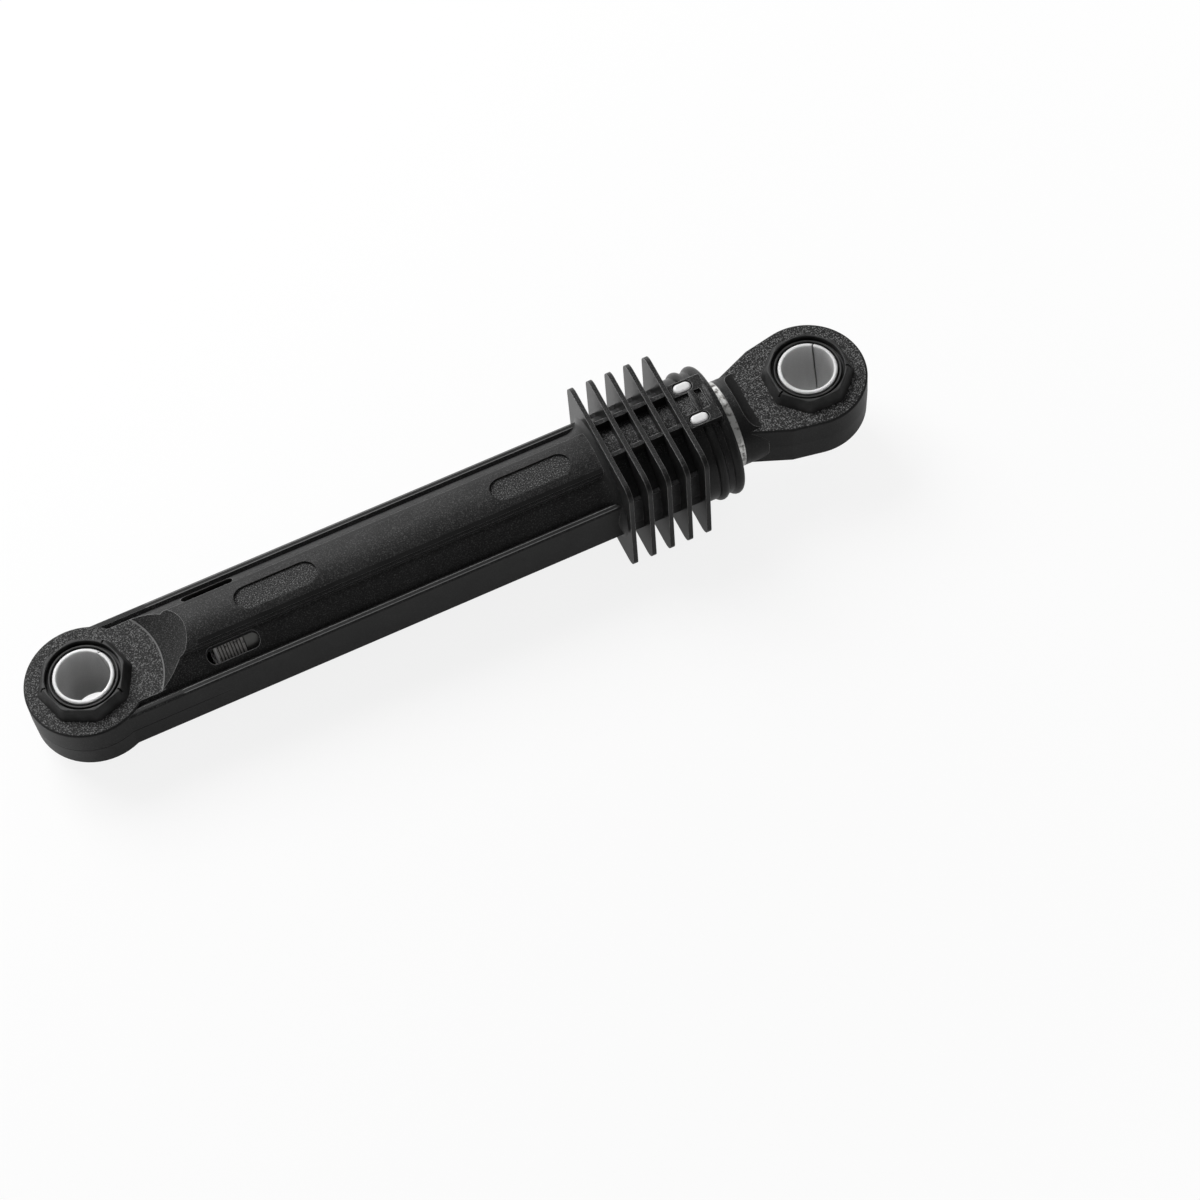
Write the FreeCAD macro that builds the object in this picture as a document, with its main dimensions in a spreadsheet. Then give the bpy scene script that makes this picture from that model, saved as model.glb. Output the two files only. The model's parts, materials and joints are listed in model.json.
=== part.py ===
"""Washing machine shock absorber: a friction damper with a finned housing and a sliding steel plunger.

Frame: origin at the centre of the lower eye, +X along the damper to the upper eye, +Z along the eye bores.
All sizes are in millimetres. The plunger stands where it is when the damper is pushed together.
"""
import FreeCAD
import Part
import math
import os

import Sketcher

Vector = FreeCAD.Vector
OVERCUT = 1.0           # how far a cut runs past the face that it opens
SAME = 1e-6             # lengths closer than this count as equal
SMALLEST_CUT = 0.01     # cubic millimetres
COLLAR_SIDES = 8        # of each rubber bush
SLIT_CORNERS = (0, 3, 6)    # corners of a bush that are slit, counted from its first

SIZES = (
    # Lengths along the damper
    ("housing_length", 178.0),      # lower eye axis to the collar's mouth
    ("closing_gap", 3.0),           # mouth to the plunger's shoulder disc when pushed together
    ("rod_end_reach", 24.0),        # shoulder disc to the upper eye axis
    # Split flanged sleeves in the eyes
    ("sleeve_bore_dia", 14.0),
    ("sleeve_wall", 0.9),
    ("sleeve_stand", 3.0),          # plain end above the eye's face
    ("sleeve_flange_reach", 1.8),   # beyond the sleeve's wall
    ("sleeve_flange_thick", 1.3),
    ("sleeve_edge", 0.3),
    ("sleeve_split", 0.4),
    ("lower_split_turn", 3.6),      # degrees about the eye, at half height
    ("lower_split_run", 8.9),       # sideways from end to end
    ("upper_split_turn", 46.0),
    ("upper_split_run", 2.0),
    # Rubber bushes
    ("rubber_play", 0.05),          # radial, bush to eye and bush to sleeve
    ("rubber_wall", 3.3),           # inside the eye
    ("bush_collar_reach", 1.3),     # corners beyond the eye's bore
    ("bush_collar_height", 3.4),
    ("bush_collar_slope", 24.0),    # degrees inwards
    ("bush_collar_edge", 0.3),
    ("bush_groove_width", 1.85),
    ("bush_groove_depth", 2.0),
    ("bush_lip_inset", 0.5),        # from the bore to the lip in the groove
    ("bush_lip_width", 0.55),
    ("bush_lip_rise", 1.3),         # over the groove's floor
    ("bush_slit_width", 0.5),
    ("bush_slit_depth", 1.5),
    ("lower_bush_turn", 41.0),      # degrees about the eye
    ("upper_bush_turn", 67.0),
    # Both eyes
    ("eye_wall", 4.7),
    ("eye_height", 15.0),
    ("eye_edge_round", 0.6),
    ("mould_draft", 1.0),           # degrees, each way from the parting plane
    # Plunger: steel tube, stop ring, rod end
    ("plunger_dia", 24.0),
    ("plunger_wall", 1.0),
    ("stop_lip_reach", 0.3),        # beyond the steel tube
    ("stop_lip_length", 8.0),
    ("stop_lip_edge", 0.6),
    ("stop_groove_count", 8),       # grease grooves round the lip
    ("stop_groove_inset", 1.0),     # from the lip's start to the first groove
    ("stop_groove_pitch", 0.85),
    ("stop_groove_width", 0.35),
    ("stop_groove_depth", 0.3),
    ("stop_play", 0.3),             # lip to the steel tube's end
    ("stop_fit", 0.06),             # radial, ring's spigot in the tube
    ("stop_spigot_length", 9.0),
    ("stop_wall", 2.44),
    ("shoulder_thick", 2.4),
    ("neck_length", 4.4),           # shoulder disc to the flat plate
    ("neck_width", 19.6),
    ("hip_reach", 11.4),            # upper eye axis back to the hips
    ("hip_width", 28.2),
    ("spigot_length", 16.0),
    ("spigot_play", 0.02),
    ("spigot_wall", 2.98),
    # Guide cage and linings, from the steel tube outwards
    ("plunger_fit", 0.06),          # radial running clearance on the steel tube
    ("lining_length", 17.0),
    ("lining_thick", 1.1),
    ("lining_play", 0.1),
    ("lining_turn", 176.0),         # degrees that each half lining covers
    ("cage_wall", 0.89),            # behind the linings
    ("seat_play", 0.15),
    # Bore of the housing
    ("bore_play", 0.6),             # radial, around the steel tube
    ("bore_blind_end", 29.5),       # from the lower eye axis
    ("bore_end_chamfer", 0.8),
    # Housing section: tube, raised back strip, side rails
    ("tube_wall", 1.2),
    ("back_rise", 1.2),             # of the strip over the tube
    ("back_strip_width", 14.0),
    ("back_strip_edge", 0.5),
    ("rail_reach", 1.0),            # sideways beyond the tube
    ("rail_height", 14.2),
    ("rail_edge_round", 0.7),
    ("rail_land_width", 0.9),       # flat top of each rail
    ("rail_foot_run", 0.9),         # from the flat top in to the tube
    # Cone-edged spot face around the lower eye
    ("spot_face_margin", 4.0),      # beyond the eye
    ("spot_cone_run", 8.3),         # from the flat out to the back strip
    # Core-pin slots beside the back strip
    ("slot_setback", 0.7),          # from the bore's end
    ("slot_length", 14.3),
    ("slot_width", 3.5),
    ("slot_span", 18.5),            # between the slots' middle lines
    # Sunk stadium panels on the back strip
    ("panel_width", 6.8),
    ("panel_length", 22.4),
    ("panel_depth", 0.9),
    ("panel_one_gap", 13.9),        # from the spot face's cone
    ("panel_two_gap", 8.1),         # to the first fin
    # Cooling fins and the ribs that cross them
    ("barrel_wall", 0.9),           # under the fins
    ("fin_count", 5),
    ("fin_pitch", 5.4),
    ("fin_thick", 1.3),
    ("fin_side_reach", 3.9),        # beyond the barrel
    ("fin_top_reach", 3.7),
    ("fin_corner", 3.8),
    ("fin_flare_length", 4.5),
    ("fin_flare_rise", 3.2),
    ("rib_span", 10.5),             # between the ribs' middles
    ("rib_thick", 1.2),
    ("rib_rise", 2.6),              # over the barrel
    # Collar with its rings and latch block
    ("collar_length", 11.0),        # last fin to the mouth
    ("collar_wall", 2.9),
    ("ring_rise", 0.95),
    ("ring_width", 2.8),
    ("ring_inset", 5.7),            # mouth to the middle of the first ring
    ("latch_block_width", 14.6),
    ("latch_block_rise", 0.5),      # over the collar
    ("latch_panel_width", 6.2),
    ("latch_panel_depth", 1.0),
    ("latch_panel_border", 0.5),
    ("nose_inset", 7.1),            # mouth to the middle of the latch noses
    ("nose_span", 10.5),            # between the noses' middles
    ("nose_length", 5.0),
    ("nose_width", 3.0),
    ("nose_rise", 0.3),             # over the latch block
    ("nose_round", 0.8),
    ("nose_play", 0.3),             # nose to window, all round
)


class Size:
    """A length with its value and the sheet formula that keeps it up to date."""

    def __init__(self, value, formula):
        self.value = float(value)
        self.formula = formula

    def __add__(self, other):
        other = as_size(other)
        return Size(self.value + other.value, f"({self.formula} + {other.formula})")

    def __sub__(self, other):
        other = as_size(other)
        return Size(self.value - other.value, f"({self.formula} - {other.formula})")

    def __mul__(self, other):
        other = as_size(other)
        return Size(self.value * other.value, f"({self.formula} * {other.formula})")

    def __truediv__(self, other):
        other = as_size(other)
        return Size(self.value / other.value, f"({self.formula} / {other.formula})")

    def __neg__(self):
        return Size(-self.value, f"(-{self.formula})")


def as_size(number):
    """Plain numbers join in the arithmetic of sizes."""
    return number if isinstance(number, Size) else Size(number, repr(float(number)))


def leg(long_side, other_leg):
    """The second leg of a right triangle."""
    squares = long_side * long_side - other_leg * other_leg
    return Size(math.sqrt(squares.value), f"sqrt({squares.formula})")


def hypotenuse(one_leg, other_leg):
    """The long side of a right triangle."""
    squares = one_leg * one_leg + other_leg * other_leg
    return Size(math.sqrt(squares.value), f"sqrt({squares.formula})")


def arc_radius(chord_half, rise):
    """Radius of an arc from half its chord and its rise."""
    return (chord_half * chord_half + rise * rise) / (rise * 2)


doc = FreeCAD.newDocument("shock_absorber")
sheet = doc.addObject("Spreadsheet::Sheet", "Dims")
size = {}
for row, (alias, value) in enumerate(SIZES, start=1):
    sheet.set(f"A{row}", alias)
    sheet.set(f"B{row}", str(value))
    sheet.setAlias(f"B{row}", alias)
    size[alias] = Size(value, f"Dims.{alias}")
doc.recompute()


def new_body(label):
    """An empty body, named for the piece it becomes."""
    body = doc.addObject("PartDesign::Body", label)
    body.Label = label
    return body


def origin_part(body, role):
    """One of the body's own planes or axes."""
    return next(part for part in body.Origin.OriginFeatures if part.Role == role)


def new_sketch(body, name, plane, offset=None):
    """A sketch on one of the body's planes, moved along the plane's normal where an offset is given."""
    sketch = body.newObject("Sketcher::SketchObject", name)
    sketch.AttachmentSupport = [(origin_part(body, plane), "")]
    sketch.MapMode = "FlatFace"
    if offset is not None:
        sketch.setExpression("AttachmentOffset.Base.z", offset.formula)
    return sketch


def set_size(sketch, constraint, length):
    """Adds a dimension and ties it to the sheet."""
    index = sketch.addConstraint(constraint)
    sketch.setExpression(f"Constraints[{index}]", length.formula)


def pin_point(sketch, geo, pos, u, v):
    """Fixes a point of the sketch at (u, v) from the sketch's origin."""
    for length, kind, axis in ((u, "DistanceX", -2), (v, "DistanceY", -1)):
        if length.value == 0:
            sketch.addConstraint(Sketcher.Constraint("PointOnObject", geo, pos, axis))
        elif length.value > 0:
            set_size(sketch, Sketcher.Constraint(kind, -1, 1, geo, pos, length.value), length)
        else:
            set_size(sketch, Sketcher.Constraint(kind, geo, pos, -1, 1, -length.value), -length)


def add_circle(sketch, u, v, radius):
    """A full circle."""
    u = as_size(u)
    v = as_size(v)
    circle = Part.Circle(Vector(u.value, v.value, 0), Vector(0, 0, 1), radius.value)
    geo = sketch.addGeometry(circle)
    pin_point(sketch, geo, 3, u, v)
    set_size(sketch, Sketcher.Constraint("Radius", geo, radius.value), radius)


def add_outline(sketch, corners, arcs=None):
    """A closed outline through corners; arcs maps an edge's number to (centre u, centre v, radius, turn)."""
    arcs = arcs or {}
    corners = [(as_size(u), as_size(v)) for u, v in corners]
    points = [Vector(u.value, v.value, 0) for u, v in corners]
    edges = []
    for number, start in enumerate(points):
        end = points[(number + 1) % len(points)]
        if number not in arcs:
            geo = sketch.addGeometry(Part.LineSegment(start, end))
            edges.append((geo, 1, 2))
            continue
        centre_u, centre_v, radius, turn = arcs[number]
        centre = Vector(as_size(centre_u).value, as_size(centre_v).value, 0)
        first, last = (start, end) if turn > 0 else (end, start)
        from_angle = math.atan2(first.y - centre.y, first.x - centre.x)
        to_angle = math.atan2(last.y - centre.y, last.x - centre.x)
        circle = Part.Circle(centre, Vector(0, 0, 1), radius.value)
        geo = sketch.addGeometry(Part.ArcOfCircle(circle, from_angle, to_angle))
        edges.append((geo, 1, 2) if turn > 0 else (geo, 2, 1))
    for number, (geo, first_pos, _) in enumerate(edges):
        before, _, last_pos = edges[number - 1]
        sketch.addConstraint(Sketcher.Constraint("Coincident", before, last_pos, geo, first_pos))
        pin_point(sketch, geo, first_pos, *corners[number])
        if number in arcs:
            radius = arcs[number][2]
            chord = points[number].distanceToPoint(points[(number + 1) % len(points)])
            if abs(chord - 2 * radius.value) < SAME:
                sketch.addConstraint(Sketcher.Constraint("Vertical", geo, 3, geo, 1))
            else:
                set_size(sketch, Sketcher.Constraint("Radius", geo, radius.value), radius)


def flip_arcs(arcs, count):
    """The arcs of an outline whose corners are listed in the opposite order."""
    flipped = {}
    for number, (u, v, radius, turn) in arcs.items():
        flipped[(count - 2 - number) % count] = (u, v, radius, -turn)
    return flipped


def add_rectangle(sketch, u_from, u_to, v_from, v_to):
    """A rectangle with its sides along the sketch's axes."""
    add_outline(sketch, [(u_from, v_from), (u_to, v_from), (u_to, v_to), (u_from, v_to)])


def add_stadium(sketch, u_from, u_to, v_middle, width):
    """A slot with round ends, along the sketch's first axis."""
    radius = width / 2
    v_middle = as_size(v_middle)
    low = v_middle - radius
    high = v_middle + radius
    left = u_from + radius
    right = u_to - radius
    ends = {1: (right, v_middle, radius, 1), 3: (left, v_middle, radius, 1)}
    add_outline(sketch, [(left, low), (right, low), (right, high), (left, high)], ends)


def pad(body, name, sketch, length, sides="One side", slope=None):
    """Raises a sketch into a solid; the slope draws its walls in."""
    feature = body.newObject("PartDesign::Pad", name)
    feature.Profile = sketch
    feature.SideType = sides
    feature.setExpression("Length", length.formula)
    if sides == "Two sides":
        feature.setExpression("Length2", length.formula)
    if slope is not None:
        feature.setExpression("TaperAngle", (-slope).formula)
        feature.setExpression("TaperAngle2", (-slope).formula)
    doc.recompute()
    return feature


def cut_through(body, name, sketch):
    """Cuts a sketch out of the whole body, both ways."""
    feature = body.newObject("PartDesign::Pocket", name)
    feature.Profile = sketch
    feature.SideType = "Two sides"
    feature.Type = "ThroughAll"
    feature.Type2 = "ThroughAll"
    return must_cut(body, feature)


def cut_down(body, name, sketch, depth):
    """Cuts a sketch into the body, against its plane's normal."""
    feature = body.newObject("PartDesign::Pocket", name)
    feature.Profile = sketch
    feature.setExpression("Length", depth.formula)
    return must_cut(body, feature)


def groove(body, name, sketch, axis):
    """Turns a sketch out of the body about one of its axes."""
    feature = body.newObject("PartDesign::Groove", name)
    feature.Profile = sketch
    feature.ReferenceAxis = (origin_part(body, axis), [""])
    return must_cut(body, feature)


def must_cut(body, feature):
    """A cut that takes nothing away is a mistake."""
    before = feature.BaseFeature.Shape.Volume
    doc.recompute()
    if not feature.Shape.Volume < before - SMALLEST_CUT:
        raise RuntimeError(f"{body.Label}: {feature.Name} cuts nothing")
    return feature


def revolve(body, name, sketch, axis, angle=None):
    """Turns a sketch into a solid; with an angle, half of it each way from the sketch."""
    feature = body.newObject("PartDesign::Revolution", name)
    feature.Profile = sketch
    feature.ReferenceAxis = (origin_part(body, axis), [""])
    if angle is not None:
        feature.Midplane = True
        feature.setExpression("Angle", angle.formula)
    doc.recompute()
    return feature


def round_level_edges(body, name, base, heights, radius):
    """Rounds the edges of a feature that lie flat at the given heights."""
    names = []
    for number, edge in enumerate(base.Shape.Edges, start=1):
        box = edge.BoundBox
        flat = box.ZMax - box.ZMin < SAME
        if flat and any(abs(box.ZMin - height) < SAME for height in heights):
            names.append(f"Edge{number}")
    feature = body.newObject("PartDesign::Fillet", name)
    feature.Base = (base, names)
    feature.setExpression("Radius", radius.formula)
    doc.recompute()
    return feature


def repeat_along(body, name, original, pitch, count):
    """Repeats a feature along the damper."""
    feature = body.newObject("PartDesign::LinearPattern", name)
    feature.Originals = [original]
    feature.Direction = (origin_part(body, "X_Axis"), [""])
    feature.Mode = "Spacing"
    feature.setExpression("Offset", pitch.formula)
    feature.setExpression("Occurrences", count.formula)
    body.Tip = feature
    doc.recompute()
    return feature


def mirror_level(body, name, originals):
    """Repeats features on the other side of the parting plane."""
    feature = body.newObject("PartDesign::Mirrored", name)
    feature.Originals = originals
    feature.MirrorPlane = (origin_part(body, "XY_Plane"), [""])
    body.Tip = feature
    doc.recompute()
    return feature


# Places along the damper that several pieces share
mouth = size["housing_length"]
shoulder_face = mouth + size["closing_gap"]
upper_eye = shoulder_face + size["rod_end_reach"]
last_fin_face = mouth - size["collar_length"]
first_fin_face = last_fin_face - size["fin_thick"] - size["fin_pitch"] * (size["fin_count"] - 1)
lining_middle = (first_fin_face + last_fin_face) / 2
seat_start = first_fin_face + size["fin_thick"] / 2
nose_middle = mouth - size["nose_inset"]
# The plunger goes in until its stop ring is one closing gap away from the bore's end.
lip_start = size["bore_blind_end"] + size["closing_gap"]
lip_end = lip_start + size["stop_lip_length"]
tube_start = lip_end + size["stop_play"]

# Radii and heights of the eyes, from the sleeve outwards
sleeve_bore_radius = size["sleeve_bore_dia"] / 2
sleeve_radius = sleeve_bore_radius + size["sleeve_wall"]
bush_bore_radius = sleeve_radius + size["rubber_play"]
bush_radius = bush_bore_radius + size["rubber_wall"]
eye_bore_radius = bush_radius + size["rubber_play"]
eye_radius = eye_bore_radius + size["eye_wall"]
eye_top = size["eye_height"] / 2
collar_top = eye_top + size["bush_collar_height"]

# Radii about the plunger's axis, from the steel tube outwards
plunger_radius = size["plunger_dia"] / 2
plunger_bore_radius = plunger_radius - size["plunger_wall"]
guide_radius = plunger_radius + size["plunger_fit"]
lining_radius = guide_radius + size["lining_thick"]
pocket_radius = lining_radius + size["lining_play"]
cage_radius = pocket_radius + size["cage_wall"]
seat_radius = cage_radius + size["seat_play"]
bore_radius = plunger_radius + size["bore_play"]
flank_radius = bore_radius + size["tube_wall"]
back_radius = flank_radius + size["back_rise"]
barrel_radius = seat_radius + size["barrel_wall"]
collar_radius = seat_radius + size["collar_wall"]
block_top = collar_radius + size["latch_block_rise"]
nose_top = block_top + size["nose_rise"]
nose_side = size["nose_span"] / 2


def make_housing():
    """The moulded housing: eye, tube with back strip and rails, fins, collar."""
    body = new_body("housing")

    eye_sketch = new_sketch(body, "eye_outline", "XY_Plane")
    add_circle(eye_sketch, 0, 0, eye_radius)
    eye = pad(body, "eye", eye_sketch, eye_top, "Two sides", size["mould_draft"])
    round_level_edges(body, "eye_edges", eye, (eye_top.value, -eye_top.value), size["eye_edge_round"])

    section = new_sketch(body, "tube_section", "YZ_Plane")
    rail_side = flank_radius + size["rail_reach"]
    rail_top = size["rail_height"] / 2
    edge = size["rail_edge_round"]
    land = rail_side - edge - size["rail_land_width"]
    foot = land - size["rail_foot_run"]
    strip = size["back_strip_width"] / 2
    bevel = size["back_strip_edge"]
    right = [
        (rail_side, rail_top - edge),
        (rail_side - edge, rail_top),
        (land, rail_top),
        (foot, leg(flank_radius, foot)),
        (strip, leg(flank_radius, strip)),
        (strip, leg(back_radius, strip) - bevel),
        (strip - bevel, leg(back_radius, strip - bevel)),
    ]
    upper = right + [(-u, v) for u, v in reversed(right)]
    lower = [(-u, -v) for u, v in upper]
    half = len(upper)
    arcs = {}
    for first, way in ((0, 1), (half, -1)):
        arcs[first] = ((rail_side - edge) * way, (rail_top - edge) * way, edge, 1)
        arcs[first + 3] = (0, 0, flank_radius, 1)
        arcs[first + 6] = (0, 0, back_radius, 1)
        arcs[first + 9] = (0, 0, flank_radius, 1)
        arcs[first + 12] = ((edge - rail_side) * way, (rail_top - edge) * way, edge, 1)
    add_outline(section, upper + lower, arcs)
    pad(body, "tube", section, first_fin_face)

    # The spot face leaves a flat plate beside the eye and a cone up to the back strip, above and below.
    spot = new_sketch(body, "spot_face_outline", "XZ_Plane")
    spot_radius = eye_radius + size["spot_face_margin"]
    spot_rim = spot_radius + size["spot_cone_run"]
    clear = back_radius + OVERCUT
    for way in (1, -1):
        add_outline(spot, [
            (0, eye_top * way),
            (spot_radius, eye_top * way),
            (spot_rim, back_radius * way),
            (spot_rim, clear * way),
            (0, clear * way),
        ])
    groove(body, "spot_face", spot, "Z_Axis")

    # Barrel under the fins, with a flare behind the first fin, and the ringed collar.
    barrel = new_sketch(body, "barrel_profile", "XZ_Plane")
    flare_start = first_fin_face - size["fin_flare_length"]
    flare_radius = arc_radius(size["fin_flare_length"], size["fin_flare_rise"])
    half_ring = size["ring_width"] / 2
    ring_radius = collar_radius + size["ring_rise"]
    ring_round = arc_radius(half_ring, size["ring_rise"])
    first_ring = mouth - size["ring_inset"]
    end_ring = mouth - half_ring
    profile = [
        (flare_start, 0),
        (flare_start, flank_radius),
        (first_fin_face, flank_radius + size["fin_flare_rise"]),
        (first_fin_face, barrel_radius),
        (last_fin_face, barrel_radius),
        (last_fin_face, collar_radius),
        (first_ring - half_ring, collar_radius),
        (first_ring + half_ring, collar_radius),
        (end_ring - half_ring, collar_radius),
        (mouth, collar_radius),
        (mouth, 0),
    ]
    rounds = {
        1: (flare_start, flank_radius + flare_radius, flare_radius, 1),
        6: (first_ring, ring_radius - ring_round, ring_round, -1),
        8: (end_ring, ring_radius - ring_round, ring_round, -1),
    }
    add_outline(barrel, list(reversed(profile)), flip_arcs(rounds, len(profile)))
    revolve(body, "barrel", barrel, "X_Axis")

    # Rails, ribs and the latch block run on between the fins.
    rails = new_sketch(body, "fin_rails", "YZ_Plane", first_fin_face)
    add_rectangle(rails, -rail_side, rail_side, -rail_top, rail_top)
    pad(body, "rails_under_fins", rails, last_fin_face - first_fin_face)
    ribs = new_sketch(body, "rib_section", "YZ_Plane", first_fin_face)
    for way in (1, -1):
        middle = size["rib_span"] / 2 * way
        half_rib = size["rib_thick"] / 2
        half_height = barrel_radius + size["rib_rise"]
        add_rectangle(ribs, middle - half_rib, middle + half_rib, -half_height, half_height)
    pad(body, "ribs", ribs, last_fin_face - first_fin_face)
    block = new_sketch(body, "latch_block_section", "YZ_Plane", last_fin_face)
    block_side = size["latch_block_width"] / 2
    add_rectangle(block, -block_side, block_side, -block_top, block_top)
    pad(body, "latch_block", block, end_ring - last_fin_face)

    fin_sketch = new_sketch(body, "fin_outline", "YZ_Plane", first_fin_face)
    fin_side = barrel_radius + size["fin_side_reach"]
    fin_top = barrel_radius + size["fin_top_reach"]
    corner = size["fin_corner"]
    quarter = [(fin_side, fin_top - corner), (fin_side - corner, fin_top)]
    upper_fin = quarter + [(-u, v) for u, v in reversed(quarter)]
    outline = upper_fin + [(-u, -v) for u, v in upper_fin]
    turns = {}
    for number, (across, up) in enumerate(((1, 1), (-1, 1), (-1, -1), (1, -1))):
        turns[2 * number] = ((fin_side - corner) * across, (fin_top - corner) * up, corner, 1)
    add_outline(fin_sketch, outline, turns)
    fin = pad(body, "fin", fin_sketch, size["fin_thick"])
    repeat_along(body, "fins", fin, size["fin_pitch"], size["fin_count"])

    # Sunk panels: two on the back strip, and one each side of the first ring on the latch block.
    panels = new_sketch(body, "back_panels", "XY_Plane", back_radius)
    panel_two_end = first_fin_face - size["panel_two_gap"]
    for start in (spot_rim + size["panel_one_gap"], panel_two_end - size["panel_length"]):
        add_stadium(panels, start, start + size["panel_length"], 0, size["panel_width"])
    panel_cut = cut_down(body, "back_panel_cut", panels, size["panel_depth"])
    latch_panels = new_sketch(body, "latch_panels", "XY_Plane", block_top)
    border = size["latch_panel_border"]
    panel_side = size["latch_panel_width"] / 2
    half_bar = half_ring / 2
    for start, end in (
        (last_fin_face + border, first_ring - half_bar),
        (first_ring + half_bar, end_ring - half_ring - border / 2),
    ):
        add_rectangle(latch_panels, start, end, -panel_side, panel_side)
    latch_cut = cut_down(body, "latch_panel_cut", latch_panels, size["latch_panel_depth"])
    mirror_level(body, "panels_below", [panel_cut, latch_cut])

    # Bore for the plunger with the wider seat of the guide cage.
    bore = new_sketch(body, "bore_profile", "XZ_Plane")
    chamfer = size["bore_end_chamfer"]
    blind = size["bore_blind_end"]
    add_outline(bore, [
        (blind, 0),
        (mouth + OVERCUT, 0),
        (mouth + OVERCUT, seat_radius),
        (seat_start, seat_radius),
        (seat_start, bore_radius),
        (blind + chamfer, bore_radius),
        (blind, bore_radius - chamfer),
    ])
    groove(body, "bore", bore, "X_Axis")

    openings = new_sketch(body, "openings", "XY_Plane")
    add_circle(openings, 0, 0, eye_bore_radius)
    window_half = size["nose_length"] / 2 + size["nose_play"]
    window_start = nose_middle - window_half
    window_end = nose_middle + window_half
    window_width = size["nose_width"] + size["nose_play"] * 2
    slot_start = blind + size["slot_setback"]
    slot_end = slot_start + size["slot_length"]
    for way in (1, -1):
        slot_side = size["slot_span"] / 2 * way
        add_stadium(openings, slot_start, slot_end, slot_side, size["slot_width"])
        add_stadium(openings, window_start, window_end, nose_side * way, window_width)
    cut_through(body, "eye_bore_slots_windows", openings)
    return body


def make_guide_cage():
    """White sleeve that guides the plunger, holds the linings and latches in the collar's windows."""
    body = new_body("guide_cage")
    pocket_half = size["lining_length"] / 2 + size["lining_play"]
    pocket_start = lining_middle - pocket_half
    pocket_end = lining_middle + pocket_half

    noses = new_sketch(body, "nose_outlines", "XY_Plane")
    half = size["nose_length"] / 2
    for way in (1, -1):
        add_stadium(noses, nose_middle - half, nose_middle + half, nose_side * way, size["nose_width"])
    nose_pad = pad(body, "noses", noses, nose_top * 2, "Symmetric")
    round_level_edges(body, "nose_edges", nose_pad, (nose_top.value, -nose_top.value), size["nose_round"])

    shell = new_sketch(body, "cage_section", "XZ_Plane")
    add_rectangle(shell, seat_start, mouth, 0, cage_radius)
    revolve(body, "cage_shell", shell, "X_Axis")
    bore = new_sketch(body, "cage_bore", "XZ_Plane")
    add_outline(bore, [
        (seat_start - OVERCUT, 0),
        (mouth + OVERCUT, 0),
        (mouth + OVERCUT, guide_radius),
        (pocket_end, guide_radius),
        (pocket_end, pocket_radius),
        (pocket_start, pocket_radius),
        (pocket_start, guide_radius),
        (seat_start - OVERCUT, guide_radius),
    ])
    groove(body, "bore_and_lining_pocket", bore, "X_Axis")
    return body


def make_lining(label, way):
    """Half shell of grease-soaked foam that rubs on the steel tube."""
    body = new_body(label)
    half = size["lining_length"] / 2
    section = new_sketch(body, "lining_section", "XZ_Plane")
    start = lining_middle - half
    end = lining_middle + half
    add_rectangle(section, start, end, guide_radius * way, lining_radius * way)
    revolve(body, "lining", section, "X_Axis", size["lining_turn"])
    return body


def make_plunger_tube():
    """Thin steel tube that slides through the linings."""
    body = new_body("plunger_tube")
    section = new_sketch(body, "tube_section", "YZ_Plane", tube_start)
    add_circle(section, 0, 0, plunger_radius)
    add_circle(section, 0, 0, plunger_bore_radius)
    pad(body, "tube", section, shoulder_face - tube_start)
    return body


def make_stop_ring():
    """Ring on the inner end of the steel tube; its lip meets the cage when the plunger is pulled out."""
    body = new_body("stop_ring")
    lip_radius = plunger_radius + size["stop_lip_reach"]
    spigot_radius = plunger_bore_radius - size["stop_fit"]
    hole_radius = spigot_radius - size["stop_wall"]
    edge = size["stop_lip_edge"]
    section = new_sketch(body, "ring_section", "XZ_Plane")
    add_outline(section, [
        (lip_start, hole_radius),
        (lip_end + size["stop_spigot_length"], hole_radius),
        (lip_end + size["stop_spigot_length"], spigot_radius),
        (lip_end, spigot_radius),
        (lip_end, lip_radius),
        (lip_start + edge, lip_radius),
        (lip_start, lip_radius - edge),
    ])
    revolve(body, "ring", section, "X_Axis")

    first = lip_start + size["stop_groove_inset"]
    floor = lip_radius - size["stop_groove_depth"]
    grease = new_sketch(body, "grease_groove_section", "XZ_Plane")
    add_rectangle(grease, first, first + size["stop_groove_width"], floor, lip_radius + OVERCUT)
    grease_cut = groove(body, "grease_groove", grease, "X_Axis")
    repeat_along(body, "grease_grooves", grease_cut, size["stop_groove_pitch"], size["stop_groove_count"])
    return body


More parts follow.
